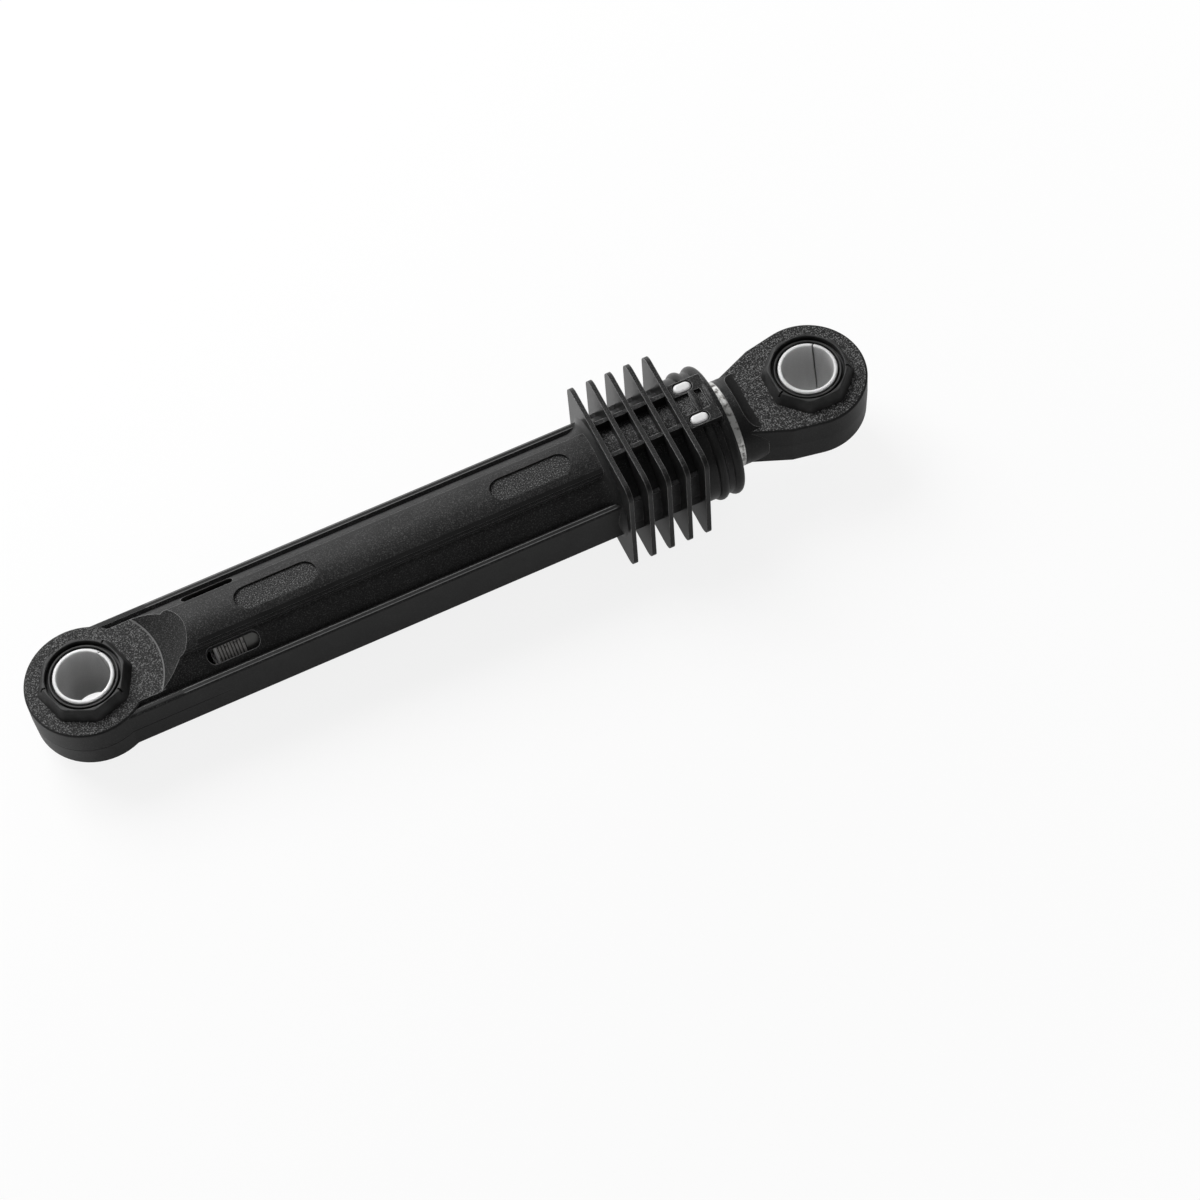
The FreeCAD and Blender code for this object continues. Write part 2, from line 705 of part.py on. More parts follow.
def make_rod_end():
    """Moulded upper eye with hips, a ramped neck, a shoulder disc and a spigot in the steel tube."""
    body = new_body("rod_end")
    shoulder_end = shoulder_face + size["shoulder_thick"]
    plate_start = shoulder_face + size["shoulder_thick"] + size["neck_length"]

    # Plate: straight from the neck out to the hips, then tangent to the eye.
    outline = new_sketch(body, "plate_outline", "XY_Plane")
    hip_back = size["hip_reach"]
    hip_side = size["hip_width"] / 2
    to_hip = hypotenuse(hip_back, hip_side)
    tangent = leg(to_hip, eye_radius)
    touch_x = upper_eye - (hip_back * eye_radius - hip_side * tangent) * eye_radius / (to_hip * to_hip)
    touch_y = (hip_side * eye_radius + hip_back * tangent) * eye_radius / (to_hip * to_hip)
    hip_x = upper_eye - hip_back
    neck_side = size["neck_width"] / 2
    add_outline(outline, [
        (shoulder_face, -neck_side),
        (shoulder_end, -neck_side),
        (hip_x, -hip_side),
        (touch_x, -touch_y),
        (touch_x, touch_y),
        (hip_x, hip_side),
        (shoulder_end, neck_side),
        (shoulder_face, neck_side),
    ], {3: (upper_eye, 0, eye_radius, 1)})
    plate = pad(body, "plate", outline, eye_top, "Two sides", size["mould_draft"])
    round_level_edges(body, "plate_edges", plate, (eye_top.value, -eye_top.value), size["eye_edge_round"])

    neck = new_sketch(body, "neck_circle", "YZ_Plane", shoulder_face)
    add_circle(neck, 0, 0, plunger_radius)
    pad(body, "neck", neck, size["shoulder_thick"] + size["neck_length"])
    ramps = new_sketch(body, "ramp_profile", "XZ_Plane")
    ramp_drop = plunger_radius - eye_top
    ramp_radius = arc_radius(size["neck_length"], ramp_drop)
    clear = plunger_radius + OVERCUT
    for way in (1, -1):
        corners = [
            (shoulder_end, plunger_radius * way),
            (plate_start, eye_top * way),
            (plate_start + OVERCUT, eye_top * way),
            (plate_start + OVERCUT, clear * way),
            (shoulder_end, clear * way),
        ]
        add_outline(ramps, corners, {0: (plate_start, (eye_top + ramp_radius) * way, ramp_radius, way)})
    cut_through(body, "ramps", ramps)

    spigot = new_sketch(body, "spigot_circle", "YZ_Plane", shoulder_face - size["spigot_length"])
    spigot_radius = plunger_bore_radius - size["spigot_play"]
    add_circle(spigot, 0, 0, spigot_radius)
    pad(body, "spigot", spigot, size["spigot_length"])
    hollow = new_sketch(body, "spigot_hollow", "XZ_Plane")
    hollow_radius = spigot_radius - size["spigot_wall"]
    hollow_start = shoulder_face - size["spigot_length"] - OVERCUT
    add_rectangle(hollow, hollow_start, shoulder_face, 0, hollow_radius)
    groove(body, "spigot_bore", hollow, "X_Axis")

    eye_bore = new_sketch(body, "eye_bore_circle", "XY_Plane")
    add_circle(eye_bore, upper_eye, 0, eye_bore_radius)
    cut_through(body, "eye_bore", eye_bore)
    return body


def stand_in_eye(body, along, turn):
    """Moves a piece drawn round the origin into its eye and turns it there."""
    body.setExpression("Placement.Base.x", as_size(along).formula)
    body.setExpression("Placement.Rotation.Angle", turn.formula)
    doc.recompute()


def collar_corner(number):
    """Direction from a bush's axis to one of its collar's corners."""
    angle = 2 * math.pi * number / COLLAR_SIDES
    return round(math.cos(angle), 9), round(math.sin(angle), 9)


def make_bush(label, along, turn):
    """Rubber bush with an eight-sided collar on each face of the eye and a lipped groove round the sleeve."""
    body = new_body(label)
    core = new_sketch(body, "core_circle", "XY_Plane")
    add_circle(core, 0, 0, bush_radius)
    pad(body, "core", core, size["eye_height"], "Symmetric")

    collar = new_sketch(body, "collar_outline", "XY_Plane", eye_top)
    corner_radius = eye_bore_radius + size["bush_collar_reach"]
    corners = []
    for number in range(COLLAR_SIDES):
        across, up = collar_corner(number)
        corners.append((corner_radius * across, corner_radius * up))
    add_outline(collar, corners)
    collar_pad = pad(body, "collar", collar, size["bush_collar_height"], slope=size["bush_collar_slope"])
    collars = mirror_level(body, "lower_collar", [collar_pad])
    tops = (collar_top.value, -collar_top.value)
    round_level_edges(body, "collar_edges", collars, tops, size["bush_collar_edge"])

    groove_radius = bush_bore_radius + size["bush_groove_width"]
    lip_inside = bush_bore_radius + size["bush_lip_inset"]
    lip_outside = lip_inside + size["bush_lip_width"]
    mouth_circle = new_sketch(body, "groove_mouth_circle", "XY_Plane", collar_top)
    add_circle(mouth_circle, 0, 0, groove_radius)
    above_lip = size["bush_groove_depth"] - size["bush_lip_rise"]
    mouth_cut = cut_down(body, "groove_mouth", mouth_circle, above_lip)
    ring = new_sketch(body, "groove_circles", "XY_Plane", collar_top)
    for radius in (groove_radius, lip_outside, lip_inside):
        add_circle(ring, 0, 0, radius)
    ring_cut = cut_down(body, "sleeve_groove", ring, size["bush_groove_depth"])

    slits = new_sketch(body, "corner_slits", "XY_Plane", collar_top)
    half_slit = size["bush_slit_width"] / 2
    near = groove_radius - half_slit
    slit = [(near, -half_slit), (corner_radius, -half_slit), (corner_radius, half_slit), (near, half_slit)]
    for number in SLIT_CORNERS:
        across, up = collar_corner(number)
        add_outline(slits, [(u * across - v * up, u * up + v * across) for u, v in slit])
    slit_cut = cut_down(body, "slits", slits, size["bush_slit_depth"])
    mirror_level(body, "lower_face", [mouth_cut, ring_cut, slit_cut])

    hole = new_sketch(body, "sleeve_hole", "XY_Plane")
    add_circle(hole, 0, 0, bush_bore_radius)
    cut_through(body, "hole", hole)
    stand_in_eye(body, along, turn)
    return body


def make_sleeve(label, along, turn, run):
    """Sleeve with a slanted split, a flange under the bush and a plain end on top."""
    body = new_body(label)
    flange_radius = sleeve_radius + size["sleeve_flange_reach"]
    flange_top = -collar_top
    flange_foot = flange_top - size["sleeve_flange_thick"]
    rise = eye_top + size["sleeve_stand"]
    edge = size["sleeve_edge"]
    section = new_sketch(body, "sleeve_section", "XZ_Plane")
    add_outline(section, [
        (sleeve_bore_radius, flange_foot),
        (flange_radius - edge, flange_foot),
        (flange_radius, flange_foot + edge),
        (flange_radius, flange_top),
        (sleeve_radius, flange_top),
        (sleeve_radius, rise - edge),
        (sleeve_radius - edge, rise),
        (sleeve_bore_radius, rise),
    ])
    revolve(body, "sleeve", section, "Z_Axis")
    outside = flange_radius + OVERCUT
    split = new_sketch(body, "split_outline", "YZ_Plane", outside)
    half_split = size["sleeve_split"] / 2
    lean = run / 2
    add_outline(split, [
        (-lean - half_split, flange_foot - OVERCUT),
        (half_split - lean, flange_foot - OVERCUT),
        (lean + half_split, rise + OVERCUT),
        (lean - half_split, rise + OVERCUT),
    ])
    cut_down(body, "split", split, outside)
    stand_in_eye(body, along, turn)
    return body


pieces = [
    make_housing(),
    make_guide_cage(),
    make_lining("friction_lining_top", 1),
    make_lining("friction_lining_bottom", -1),
    make_plunger_tube(),
    make_stop_ring(),
    make_rod_end(),
    make_bush("lower_bush", 0, size["lower_bush_turn"]),
    make_bush("upper_bush", upper_eye, size["upper_bush_turn"]),
    make_sleeve("lower_sleeve", 0, size["lower_split_turn"], size["lower_split_run"]),
    make_sleeve("upper_sleeve", upper_eye, size["upper_split_turn"], size["upper_split_run"]),
]
doc.recompute()

for item in doc.Objects:
    if "Invalid" in item.State or "Error" in item.State:
        raise RuntimeError(f"{item.Name} failed: {item.State}")
for piece in pieces:
    shape = piece.Shape
    if shape.isNull() or not shape.isValid() or len(shape.Solids) != 1:
        raise RuntimeError(f"{piece.Label} is not one sound solid")

os.makedirs("parts", exist_ok=True)
for piece in pieces:
    piece.Shape.exportStep(f"parts/{piece.Label}.step")
    box = piece.Shape.BoundBox
    print(f"{piece.Label}: {piece.Shape.Volume:.0f} mm3, x {box.XMin:.2f} to {box.XMax:.2f} mm")
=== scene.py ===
"""Looks of a washing machine shock absorber: the finishes of its pieces, its bushes and the studio.

The file is laid out as an add-on and is run as a script. Lengths are in metres, unless a name or a
comment says millimetres.
"""
import json
import math

import bmesh
import bpy
from bpy.props import FloatProperty, FloatVectorProperty, IntProperty, PointerProperty
from mathutils import Matrix, Vector


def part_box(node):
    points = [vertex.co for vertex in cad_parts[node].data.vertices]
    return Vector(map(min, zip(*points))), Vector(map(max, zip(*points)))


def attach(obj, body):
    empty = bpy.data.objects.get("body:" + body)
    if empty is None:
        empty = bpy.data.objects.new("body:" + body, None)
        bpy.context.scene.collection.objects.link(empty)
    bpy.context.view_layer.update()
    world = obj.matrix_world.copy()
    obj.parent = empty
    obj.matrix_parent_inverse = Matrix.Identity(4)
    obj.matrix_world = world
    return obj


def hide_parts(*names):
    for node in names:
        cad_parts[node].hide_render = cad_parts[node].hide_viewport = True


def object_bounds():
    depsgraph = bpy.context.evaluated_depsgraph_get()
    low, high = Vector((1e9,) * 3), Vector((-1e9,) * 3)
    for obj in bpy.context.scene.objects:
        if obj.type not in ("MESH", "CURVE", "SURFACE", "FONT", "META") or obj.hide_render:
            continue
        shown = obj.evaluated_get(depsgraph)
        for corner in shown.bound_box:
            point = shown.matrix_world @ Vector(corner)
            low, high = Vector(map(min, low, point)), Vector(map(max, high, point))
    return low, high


bl_info = {
    "name": "Shock Absorber Looks",
    "version": (1, 0, 0),
    "blender": (4, 5, 0),
    "location": "View3D > Sidebar > Damper",
    "description": "Finishes and studio for a washing machine shock absorber",
    "category": "Object",
}

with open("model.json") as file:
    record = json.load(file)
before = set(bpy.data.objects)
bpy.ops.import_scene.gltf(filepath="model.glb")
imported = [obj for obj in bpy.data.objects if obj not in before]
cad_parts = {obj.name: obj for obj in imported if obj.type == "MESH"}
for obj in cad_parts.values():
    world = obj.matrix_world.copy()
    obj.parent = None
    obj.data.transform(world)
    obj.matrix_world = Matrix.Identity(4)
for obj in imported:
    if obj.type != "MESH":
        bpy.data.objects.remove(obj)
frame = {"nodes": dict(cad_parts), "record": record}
CAD_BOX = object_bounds()

MM = 0.001
LOWER_EYE = Vector(frame["record"]["mounts"][0]["pos_m"])
UPPER_EYE = Vector(frame["record"]["mounts"][1]["pos_m"])
HOUSING_BODY = "housing_unit"
PLUNGER_BODY = "plunger"

# Where features lie, in millimetres: lengths run along the damper from the lower eye,
# heights and sides run from the damper's middle both ways.
LOWER_EYE_LENGTHS = (-30.0, 20.0)
CONE_LENGTHS = (8.0, 29.0)
TUBE_LENGTHS = (8.0, 142.0)
RAIL_LENGTHS = (22.0, 142.0)
STRIP_LENGTHS = (30.0, 142.0)
RING_CHAMFER_LENGTHS = (32.3, 33.1)
FIN_LENGTHS = (143.5, 170.0)
FIN_AND_COLLAR_LENGTHS = (143.5, 182.0)
BARREL_LENGTHS = (144.0, 167.0)
STEEL_OUTER_END_LENGTHS = (176.0, 190.0)
ROD_END_LENGTHS = (178.0, 230.0)
SEAM_HEIGHTS = (-0.2, 0.2)
RAIL_TOP_HEIGHTS = (6.8, 7.15)
EYE_PLATE_HEIGHTS = (7.3, 8.0)
PLATE_RIM_HEIGHTS = (7.55, 7.8)
ABOVE_RAIL_HEIGHTS = (12.0, 20.0)
STRIP_BORDER_HEIGHTS = (13.3, 14.1)
STRIP_PANEL_HEIGHTS = (13.9, 14.2)
PANEL_RIM_HEIGHTS = (13.9, 15.0)
BARREL_HEIGHTS = (14.6, 16.2)
LATCH_PANEL_HEIGHTS = (16.6, 16.8)
STRIP_BORDER_SIDES = (5.5, 6.7)
RAIL_INNER_SIDES = (13.2, 13.3)
RAIL_OUTER_SIDES = (14.2, 14.3)
# From the lower eye's axis outwards
PLATE_RIM_REACHES = (19.5, 21.0)

# How level a face lies: 1 for a flat top, 0 for an upright wall
FLAT_FACES = (0.99, 1.1)
UPWARD_FACES = (0.9, 1.1)
SLOPING_FACES = (0.4, 0.85)

WHITE = "#ffffff"
# A wave pattern repeats at this step of its scaled coordinates
WAVE_PERIOD = math.pi / 10

# Corners of a bush that are slit, in degrees from its first corner
SLIT_CORNERS = (45, 180, 315)
# Points along each of a bush's sides, between its corners
SIDE_POINTS = 7
# Points that lie closer than these are one point
CUT_MERGE = 1e-7
MIRROR_MERGE = 1e-6

# Name, place from the damper's middle, width and height, and the property that holds the power
SOFTBOXES = (
    ("key_softbox", (-0.34, 0.9, 0.98), (0.9, 0.9), "key_power"),
    ("side_softbox", (-1.27, 0.67, 0.38), (1.2, 0.6), "side_power"),
    ("back_softbox", (0.3, 1.3, 0.25), (1.4, 0.5), "back_power"),
)
FLOOR_HALF_WIDTH = 6.0
# The floor turns into plain white between these distances
FLOOR_FADE = (0.12, 0.5)
# How much of the white floor shows in mirrored and transmitted rays
MIRRORED_WHITE = 0.4
SENSOR_WIDTH_MM = 36.0
CAMERA_NEAREST = 0.05


def linear(hex_colour):
    """Linear colour of an sRGB hex value."""
    parts = [int(hex_colour[start:start + 2], 16) / 255 for start in (1, 3, 5)]
    return tuple(p / 12.92 if p <= 0.04045 else ((p + 0.055) / 1.055) ** 2.4 for p in parts)


def colour_property(name, description, hex_colour):
    """A colour that a user can change, with its default given as sRGB."""
    return FloatVectorProperty(
        name=name, description=description, subtype="COLOR", size=3, min=0, max=1,
        default=linear(hex_colour)
    )


def length_property(name, description, millimetres):
    """A length that a user can change, with its default given in millimetres."""
    return FloatProperty(
        name=name, description=description, default=millimetres * MM, min=0, precision=5,
        unit="LENGTH"
    )


class DamperFinishes(bpy.types.PropertyGroup):
    """Colours and grain of the surfaces."""

    nylon: colour_property(
        "Nylon", "Black glass-filled nylon of the housing and rod end", "#151515"
    )
    # Painted highlight on edges, rail lines and grain tips, and the tone of faint clouds
    nylon_highlight_and_clouds: colour_property(
        "Nylon highlights", "Painted highlight on edges and grain tips, and paler clouds", "#9a9a9a"
    )
    nylon_seam: colour_property("Nylon seam", "Line where the mould halves meet", "#030303")
    rubber: colour_property("Rubber", "Black rubber of the bushes", "#212121")
    rubber_bloom: colour_property("Rubber bloom", "Pale bloom on the rubber", "#3c3c3c")
    acetal: colour_property("Acetal", "White acetal of the sleeves and latch noses", "#e6e6e6")
    acetal_shade: colour_property(
        "Acetal shade", "Slightly darker patches in the acetal", "#e0e0e0"
    )
    # Painted shade: the grey that sheltered insides of the sleeves are painted with
    acetal_painted_shade: colour_property("Acetal shading", "Painted grey inside the sleeves", "#989898")
    ring: colour_property("Ring", "Grey acetal of the stop ring", "#a8a6a4")
    # Dark of greasy smears on the stop ring, and of painted shade in its grooves
    ring_grease_and_shade: colour_property("Ring grease", "Grease and painted groove shade", "#2c2a28")
    steel: colour_property("Steel", "Drawn steel of the plunger tube", "#c8c8c6")
    steel_film: colour_property("Filmed steel", "Grease film on the steel that slides", "#8c8c8a")
    steel_dull: colour_property("Dull steel", "Oiled patches on the steel", "#5a5856")
    foam: colour_property("Foam", "Greased foam of the friction linings", "#8a7a55")
    grain: length_property("Grain", "Width of the spark-eroded grain on the nylon", 0.16)
    edge: length_property("Edge", "Radius of the moulded edges", 0.3)


class DamperBush(bpy.types.PropertyGroup):
    """Sizes of the modelled rubber bushes."""

    core_reach: length_property("Core reach", "Eye axis to the outside of the core", 11.25)
    bore_reach: length_property("Bore reach", "Eye axis to the bush's bore", 7.95)
    corner_reach: length_property(
        "Corner reach", "Eye axis to the collar's corners, at the eye's face", 12.6
    )
    collar_draw: length_property(
        "Collar draw", "How far the collar's flats draw in towards the top", 1.51
    )
    collar_gap: length_property("Collar gap", "Air between the collar and the eye's face", 0.02)
    groove_reach: length_property("Groove reach", "Eye axis to the outside of the groove", 9.8)
    groove_depth: length_property("Groove depth", "Depth of the groove round the sleeve", 2.0)
    lip_reach: length_property("Lip reach", "Eye axis to the outside of the lip in the groove", 9.0)
    lip_width: length_property("Lip width", "Thickness of the lip in the groove", 0.55)
    lip_rise: length_property("Lip rise", "Height of the lip above the groove's floor", 1.3)
    slit_width: length_property("Slit width", "Width of the slits in three of the corners", 0.5)
    slit_depth: length_property("Slit depth", "Depth of the slits", 1.5)
    edge_round: length_property("Edge round", "Rounding of the level edges", 0.16)
    corner_round: length_property("Corner round", "Rounding of the collar's corners", 0.8)
    eye_face: length_property("Eye face", "Eye's middle to its face", 7.5)
    sides: IntProperty(name="Sides", description="Flats of the collar", default=8, min=3)
    lower_turn: FloatProperty(
        name="Lower turn", description="Turn of the lower bush", subtype="ANGLE",
        default=math.radians(-4)
    )
    upper_turn: FloatProperty(
        name="Upper turn", description="Turn of the upper bush", subtype="ANGLE",
        default=math.radians(22)
    )


class DamperStage(bpy.types.PropertyGroup):
    """Floor, lights and camera."""

    floor: colour_property("Floor", "Pale studio floor", "#f8f8f8")
    floor_white: FloatProperty(
        name="Floor white", description="Share of plain white in the floor beside the damper",
        subtype="FACTOR", default=0.85, min=0, max=1
    )
    ambient: FloatProperty(
        name="Ambient", description="Soft light from all round", default=0.21, min=0
    )
    key_power: FloatProperty(
        name="Key", description="Softbox overhead, behind on the left", default=20.5, min=0,
        unit="POWER"
    )
    side_power: FloatProperty(
        name="Side", description="Low softbox on the left", default=2.8, min=0, unit="POWER"
    )
    back_power: FloatProperty(
        name="Back", description="Low softbox behind", default=4.0, min=0, unit="POWER"
    )
    camera_place: FloatVectorProperty(
        name="Camera place", description="Camera position", subtype="XYZ", unit="LENGTH",
        default=(-0.00584, -0.40448, 0.71083)
    )
    camera_azimuth: FloatProperty(
        name="Camera azimuth", description="Turn of the view from straight ahead", subtype="ANGLE",
        default=math.radians(-19.88)
    )
    camera_elevation: FloatProperty(
        name="Camera elevation", description="View above the horizon", subtype="ANGLE",
        default=math.radians(60.96)
    )
    camera_roll: FloatProperty(
        name="Camera roll", description="Turn of the camera about its view", subtype="ANGLE",
        default=math.radians(-5.86)
    )
    camera_lens: FloatProperty(
        name="Lens", description="Focal length in millimetres", default=94.63, min=1, unit="CAMERA"
    )


def add_node(tree, kind, settings=None, links=None):
    """Adds a node. Settings fill its properties and sockets, links join nodes or outputs to it."""
    node = tree.nodes.new(kind)
    for name, value in (settings or {}).items():
        if isinstance(name, str) and hasattr(node, name):
            setattr(node, name, value)
        else:
            node.inputs[name].default_value = value
    for name, source in (links or {}).items():
        output = source.outputs[0] if isinstance(source, bpy.types.Node) else source
        tree.links.new(output, node.inputs[name])
    return node


def opaque(colour):
    """A colour socket's four numbers."""
    return (*colour, 1.0)


def new_material(name):
    """An empty material and its node tree."""
    material = bpy.data.materials.new(name)
    material.use_nodes = True
    material.node_tree.nodes.clear()
    return material, material.node_tree


def finish_material(tree, shader):
    """Joins a shader to the material's surface."""
    add_node(tree, "ShaderNodeOutputMaterial", links={"Surface": shader})


def coordinates_mm(tree):
    """Object coordinates in millimetres, so that pattern sizes can be written as real sizes."""
    coords = add_node(tree, "ShaderNodeTexCoord")
    return add_node(
        tree, "ShaderNodeVectorMath", {"operation": "SCALE", "Scale": 1 / MM},
        {0: coords.outputs["Object"]}
    )


def apply_to_nodes(material, names):
    """Gives the CAD nodes a finish in place of their plain one."""
    for name in names:
        mesh = frame["nodes"][name].data
        mesh.materials.clear()
        mesh.materials.append(material)


def band(tree, source, limits, soft):
    """1 where a value lies within the limits, with soft sides."""
    low, high = limits
    rise = add_node(
        tree, "ShaderNodeMapRange",
        {"interpolation_type": "SMOOTHSTEP", "From Min": low - soft, "From Max": low},
        {"Value": source}
    )
    fall = add_node(
        tree, "ShaderNodeMapRange",
        {"interpolation_type": "SMOOTHSTEP", "From Min": high + soft, "From Max": high},
        {"Value": source}
    )
    return add_node(tree, "ShaderNodeMath", {"operation": "MULTIPLY"}, {0: rise, 1: fall})


def full_grain(tree, length, height, upward_face):
    """How deep the grain is on the eyes' plates, sunk panels and squares between the fins."""
    panel_share = 0.8
    housing_share = 0.85
    rod_end_share = 1.1
    # Flat faces are told by their true normals, because the smoothed ones lean over beside an edge
    geometry = add_node(tree, "ShaderNodeNewGeometry")
    true_normal = add_node(
        tree, "ShaderNodeVectorTransform",
        {"vector_type": "NORMAL", "convert_from": "WORLD", "convert_to": "OBJECT"},
        {0: geometry.outputs["True Normal"]}
    )
    true_facing = add_node(tree, "ShaderNodeSeparateXYZ", links={0: true_normal})
    true_level = add_node(
        tree, "ShaderNodeMath", {"operation": "ABSOLUTE"}, {0: true_facing.outputs["Z"]}
    )
    flat_face = band(tree, true_level, FLAT_FACES, soft=0.01)

    at_plates = band(tree, height, EYE_PLATE_HEIGHTS, soft=0.1)
    on_rod_end = band(tree, length, ROD_END_LENGTHS, soft=1.0)
    plate_share = add_node(
        tree, "ShaderNodeMapRange", {"To Min": housing_share, "To Max": rod_end_share},
        {"Value": on_rod_end}
    )
    plates = add_node(
        tree, "ShaderNodeMath", {"operation": "MULTIPLY"}, {0: at_plates, 1: plate_share}
    )
    at_panels = band(tree, height, STRIP_PANEL_HEIGHTS, soft=0.1)
    strip_panels = add_node(
        tree, "ShaderNodeMath", {"operation": "MULTIPLY", 1: panel_share}, {0: at_panels}
    )
    latch_panels = band(tree, height, LATCH_PANEL_HEIGHTS, soft=0.1)
    panels = add_node(
        tree, "ShaderNodeMath", {"operation": "MAXIMUM"}, {0: strip_panels, 1: latch_panels}
    )
    flats = add_node(tree, "ShaderNodeMath", {"operation": "MAXIMUM"}, {0: plates, 1: panels})
    pebbled = add_node(tree, "ShaderNodeMath", {"operation": "MULTIPLY"}, {0: flats, 1: flat_face})

    barrel_height = band(tree, height, BARREL_HEIGHTS, soft=0.1)
    barrel_length = band(tree, length, BARREL_LENGTHS, soft=0.2)
    barrel = add_node(
        tree, "ShaderNodeMath", {"operation": "MULTIPLY"}, {0: barrel_height, 1: barrel_length}
    )
    squares = add_node(
        tree, "ShaderNodeMath", {"operation": "MULTIPLY"}, {0: barrel, 1: upward_face}
    )
    return add_node(tree, "ShaderNodeMath", {"operation": "MAXIMUM"}, {0: pebbled, 1: squares})


def grain_depth(tree, length, height, facing):
    """How deep the mould's grain is.

    It is full on flat faces, slight on the strip and on slopes, and barely there on walls.
    """
    flank_share = 0.14
    cone_share = 0.22
    strip_share = 0.2
    wall_share = 0.06
    level = add_node(tree, "ShaderNodeMath", {"operation": "ABSOLUTE"}, {0: facing.outputs["Z"]})
    upward_face = band(tree, level, UPWARD_FACES, soft=0.1)
    above_rails = band(tree, height, ABOVE_RAIL_HEIGHTS, soft=0.5)
    strip = add_node(
        tree, "ShaderNodeMath", {"operation": "MULTIPLY"}, {0: upward_face, 1: above_rails}
    )
    on_strip = add_node(
        tree, "ShaderNodeMath", {"operation": "MULTIPLY_ADD", 1: strip_share, 2: wall_share},
        {0: strip}
    )
    slope = band(tree, level, SLOPING_FACES, soft=0.05)
    near_eye = band(tree, length, CONE_LENGTHS, soft=0.5)
    slope_share = add_node(
        tree, "ShaderNodeMapRange", {"To Min": flank_share, "To Max": cone_share},
        {"Value": near_eye}
    )
    on_tube = band(tree, length, TUBE_LENGTHS, soft=0.5)
    tube_slope = add_node(tree, "ShaderNodeMath", {"operation": "MULTIPLY"}, {0: slope, 1: on_tube})
    sloping = add_node(
        tree, "ShaderNodeMath", {"operation": "MULTIPLY"}, {0: tube_slope, 1: slope_share}
    )
    slight = add_node(tree, "ShaderNodeMath", {"operation": "ADD"}, {0: sloping, 1: on_strip})
    full = full_grain(tree, length, height, upward_face)
    return add_node(tree, "ShaderNodeMath", {"operation": "MAXIMUM"}, {0: full, 1: slight})


def painted_edge_highlights(tree, rounded, length, height):
    """Painted highlight, strong along outer edges where the rounded normal leaves the smooth one
    in the open.

    The rims of the sunk panels get no painted highlight, and the fins show only thin lines.
    """
    edge_share = 0.9
    fin_sharpness = 4.0
    open_reach_mm = 1.2
    unbent, bent = 0.985, 0.88
    sheltered, lying_open = 0.75, 0.95
    geometry = add_node(tree, "ShaderNodeNewGeometry")
    bend = add_node(
        tree, "ShaderNodeVectorMath", {"operation": "DOT_PRODUCT"},
        {0: rounded, 1: geometry.outputs["Normal"]}
    )
    edge = add_node(
        tree, "ShaderNodeMapRange", {"From Min": unbent, "From Max": bent},
        {"Value": bend.outputs["Value"]}
    )
    shelter = add_node(
        tree, "ShaderNodeAmbientOcclusion", {"samples": 4, "Distance": open_reach_mm * MM}
    )
    open_air = add_node(
        tree, "ShaderNodeMapRange", {"From Min": sheltered, "From Max": lying_open},
        {"Value": shelter.outputs["AO"]}
    )
    open_edge = add_node(tree, "ShaderNodeMath", {"operation": "MULTIPLY"}, {0: edge, 1: open_air})
    fins = band(tree, length, FIN_LENGTHS, soft=0.5)
    sharpness = add_node(
        tree, "ShaderNodeMapRange", {"To Min": 1.0, "To Max": fin_sharpness}, {"Value": fins}
    )
    lines = add_node(tree, "ShaderNodeMath", {"operation": "POWER"}, {0: open_edge, 1: sharpness})
    rim_height = band(tree, height, PANEL_RIM_HEIGHTS, soft=0.1)
    strip_length = band(tree, length, STRIP_LENGTHS, soft=0.5)
    rims = add_node(
        tree, "ShaderNodeMath", {"operation": "MULTIPLY"}, {0: rim_height, 1: strip_length}
    )
    share = add_node(
        tree, "ShaderNodeMapRange", {"To Min": edge_share, "To Max": 0.0}, {"Value": rims}
    )
    return add_node(tree, "ShaderNodeMath", {"operation": "MULTIPLY"}, {0: lines, 1: share})


def strip_borders(tree, length, side, height):
    """1 along the two smooth borders of the raised strip."""
    border_height = band(tree, height, STRIP_BORDER_HEIGHTS, soft=0.1)
    border_side = band(tree, side, STRIP_BORDER_SIDES, soft=0.1)
    border_length = band(tree, length, STRIP_LENGTHS, soft=1.0)
    across = add_node(
        tree, "ShaderNodeMath", {"operation": "MULTIPLY"}, {0: border_height, 1: border_side}
    )
    return add_node(
        tree, "ShaderNodeMath", {"operation": "MULTIPLY"}, {0: across, 1: border_length}
    )


def painted_highlight_lines(tree, length, side, height):
    """Painted highlight lines on each side rail's two top edges and on the lower plate's rim."""
    line_share = 0.5
    rail_top = band(tree, height, RAIL_TOP_HEIGHTS, soft=0.05)
    rail_length = band(tree, length, RAIL_LENGTHS, soft=1.0)
    on_rail = add_node(
        tree, "ShaderNodeMath", {"operation": "MULTIPLY"}, {0: rail_top, 1: rail_length}
    )
    inner = band(tree, side, RAIL_INNER_SIDES, soft=0.1)
    outer = band(tree, side, RAIL_OUTER_SIDES, soft=0.1)
    both = add_node(tree, "ShaderNodeMath", {"operation": "MAXIMUM"}, {0: inner, 1: outer})
    rail_lines = add_node(tree, "ShaderNodeMath", {"operation": "MULTIPLY"}, {0: both, 1: on_rail})
    level_place = add_node(tree, "ShaderNodeCombineXYZ", links={"X": length, "Y": side})
    reach = add_node(tree, "ShaderNodeVectorMath", {"operation": "LENGTH"}, {0: level_place})
    rim_reach = band(tree, reach.outputs["Value"], PLATE_RIM_REACHES, soft=0.2)
    rim_height = band(tree, height, PLATE_RIM_HEIGHTS, soft=0.04)
    rim = add_node(tree, "ShaderNodeMath", {"operation": "MULTIPLY"}, {0: rim_height, 1: rim_reach})
    lines = add_node(tree, "ShaderNodeMath", {"operation": "MAXIMUM"}, {0: rail_lines, 1: rim})
    return add_node(tree, "ShaderNodeMath", {"operation": "MULTIPLY", 1: line_share}, {0: lines})


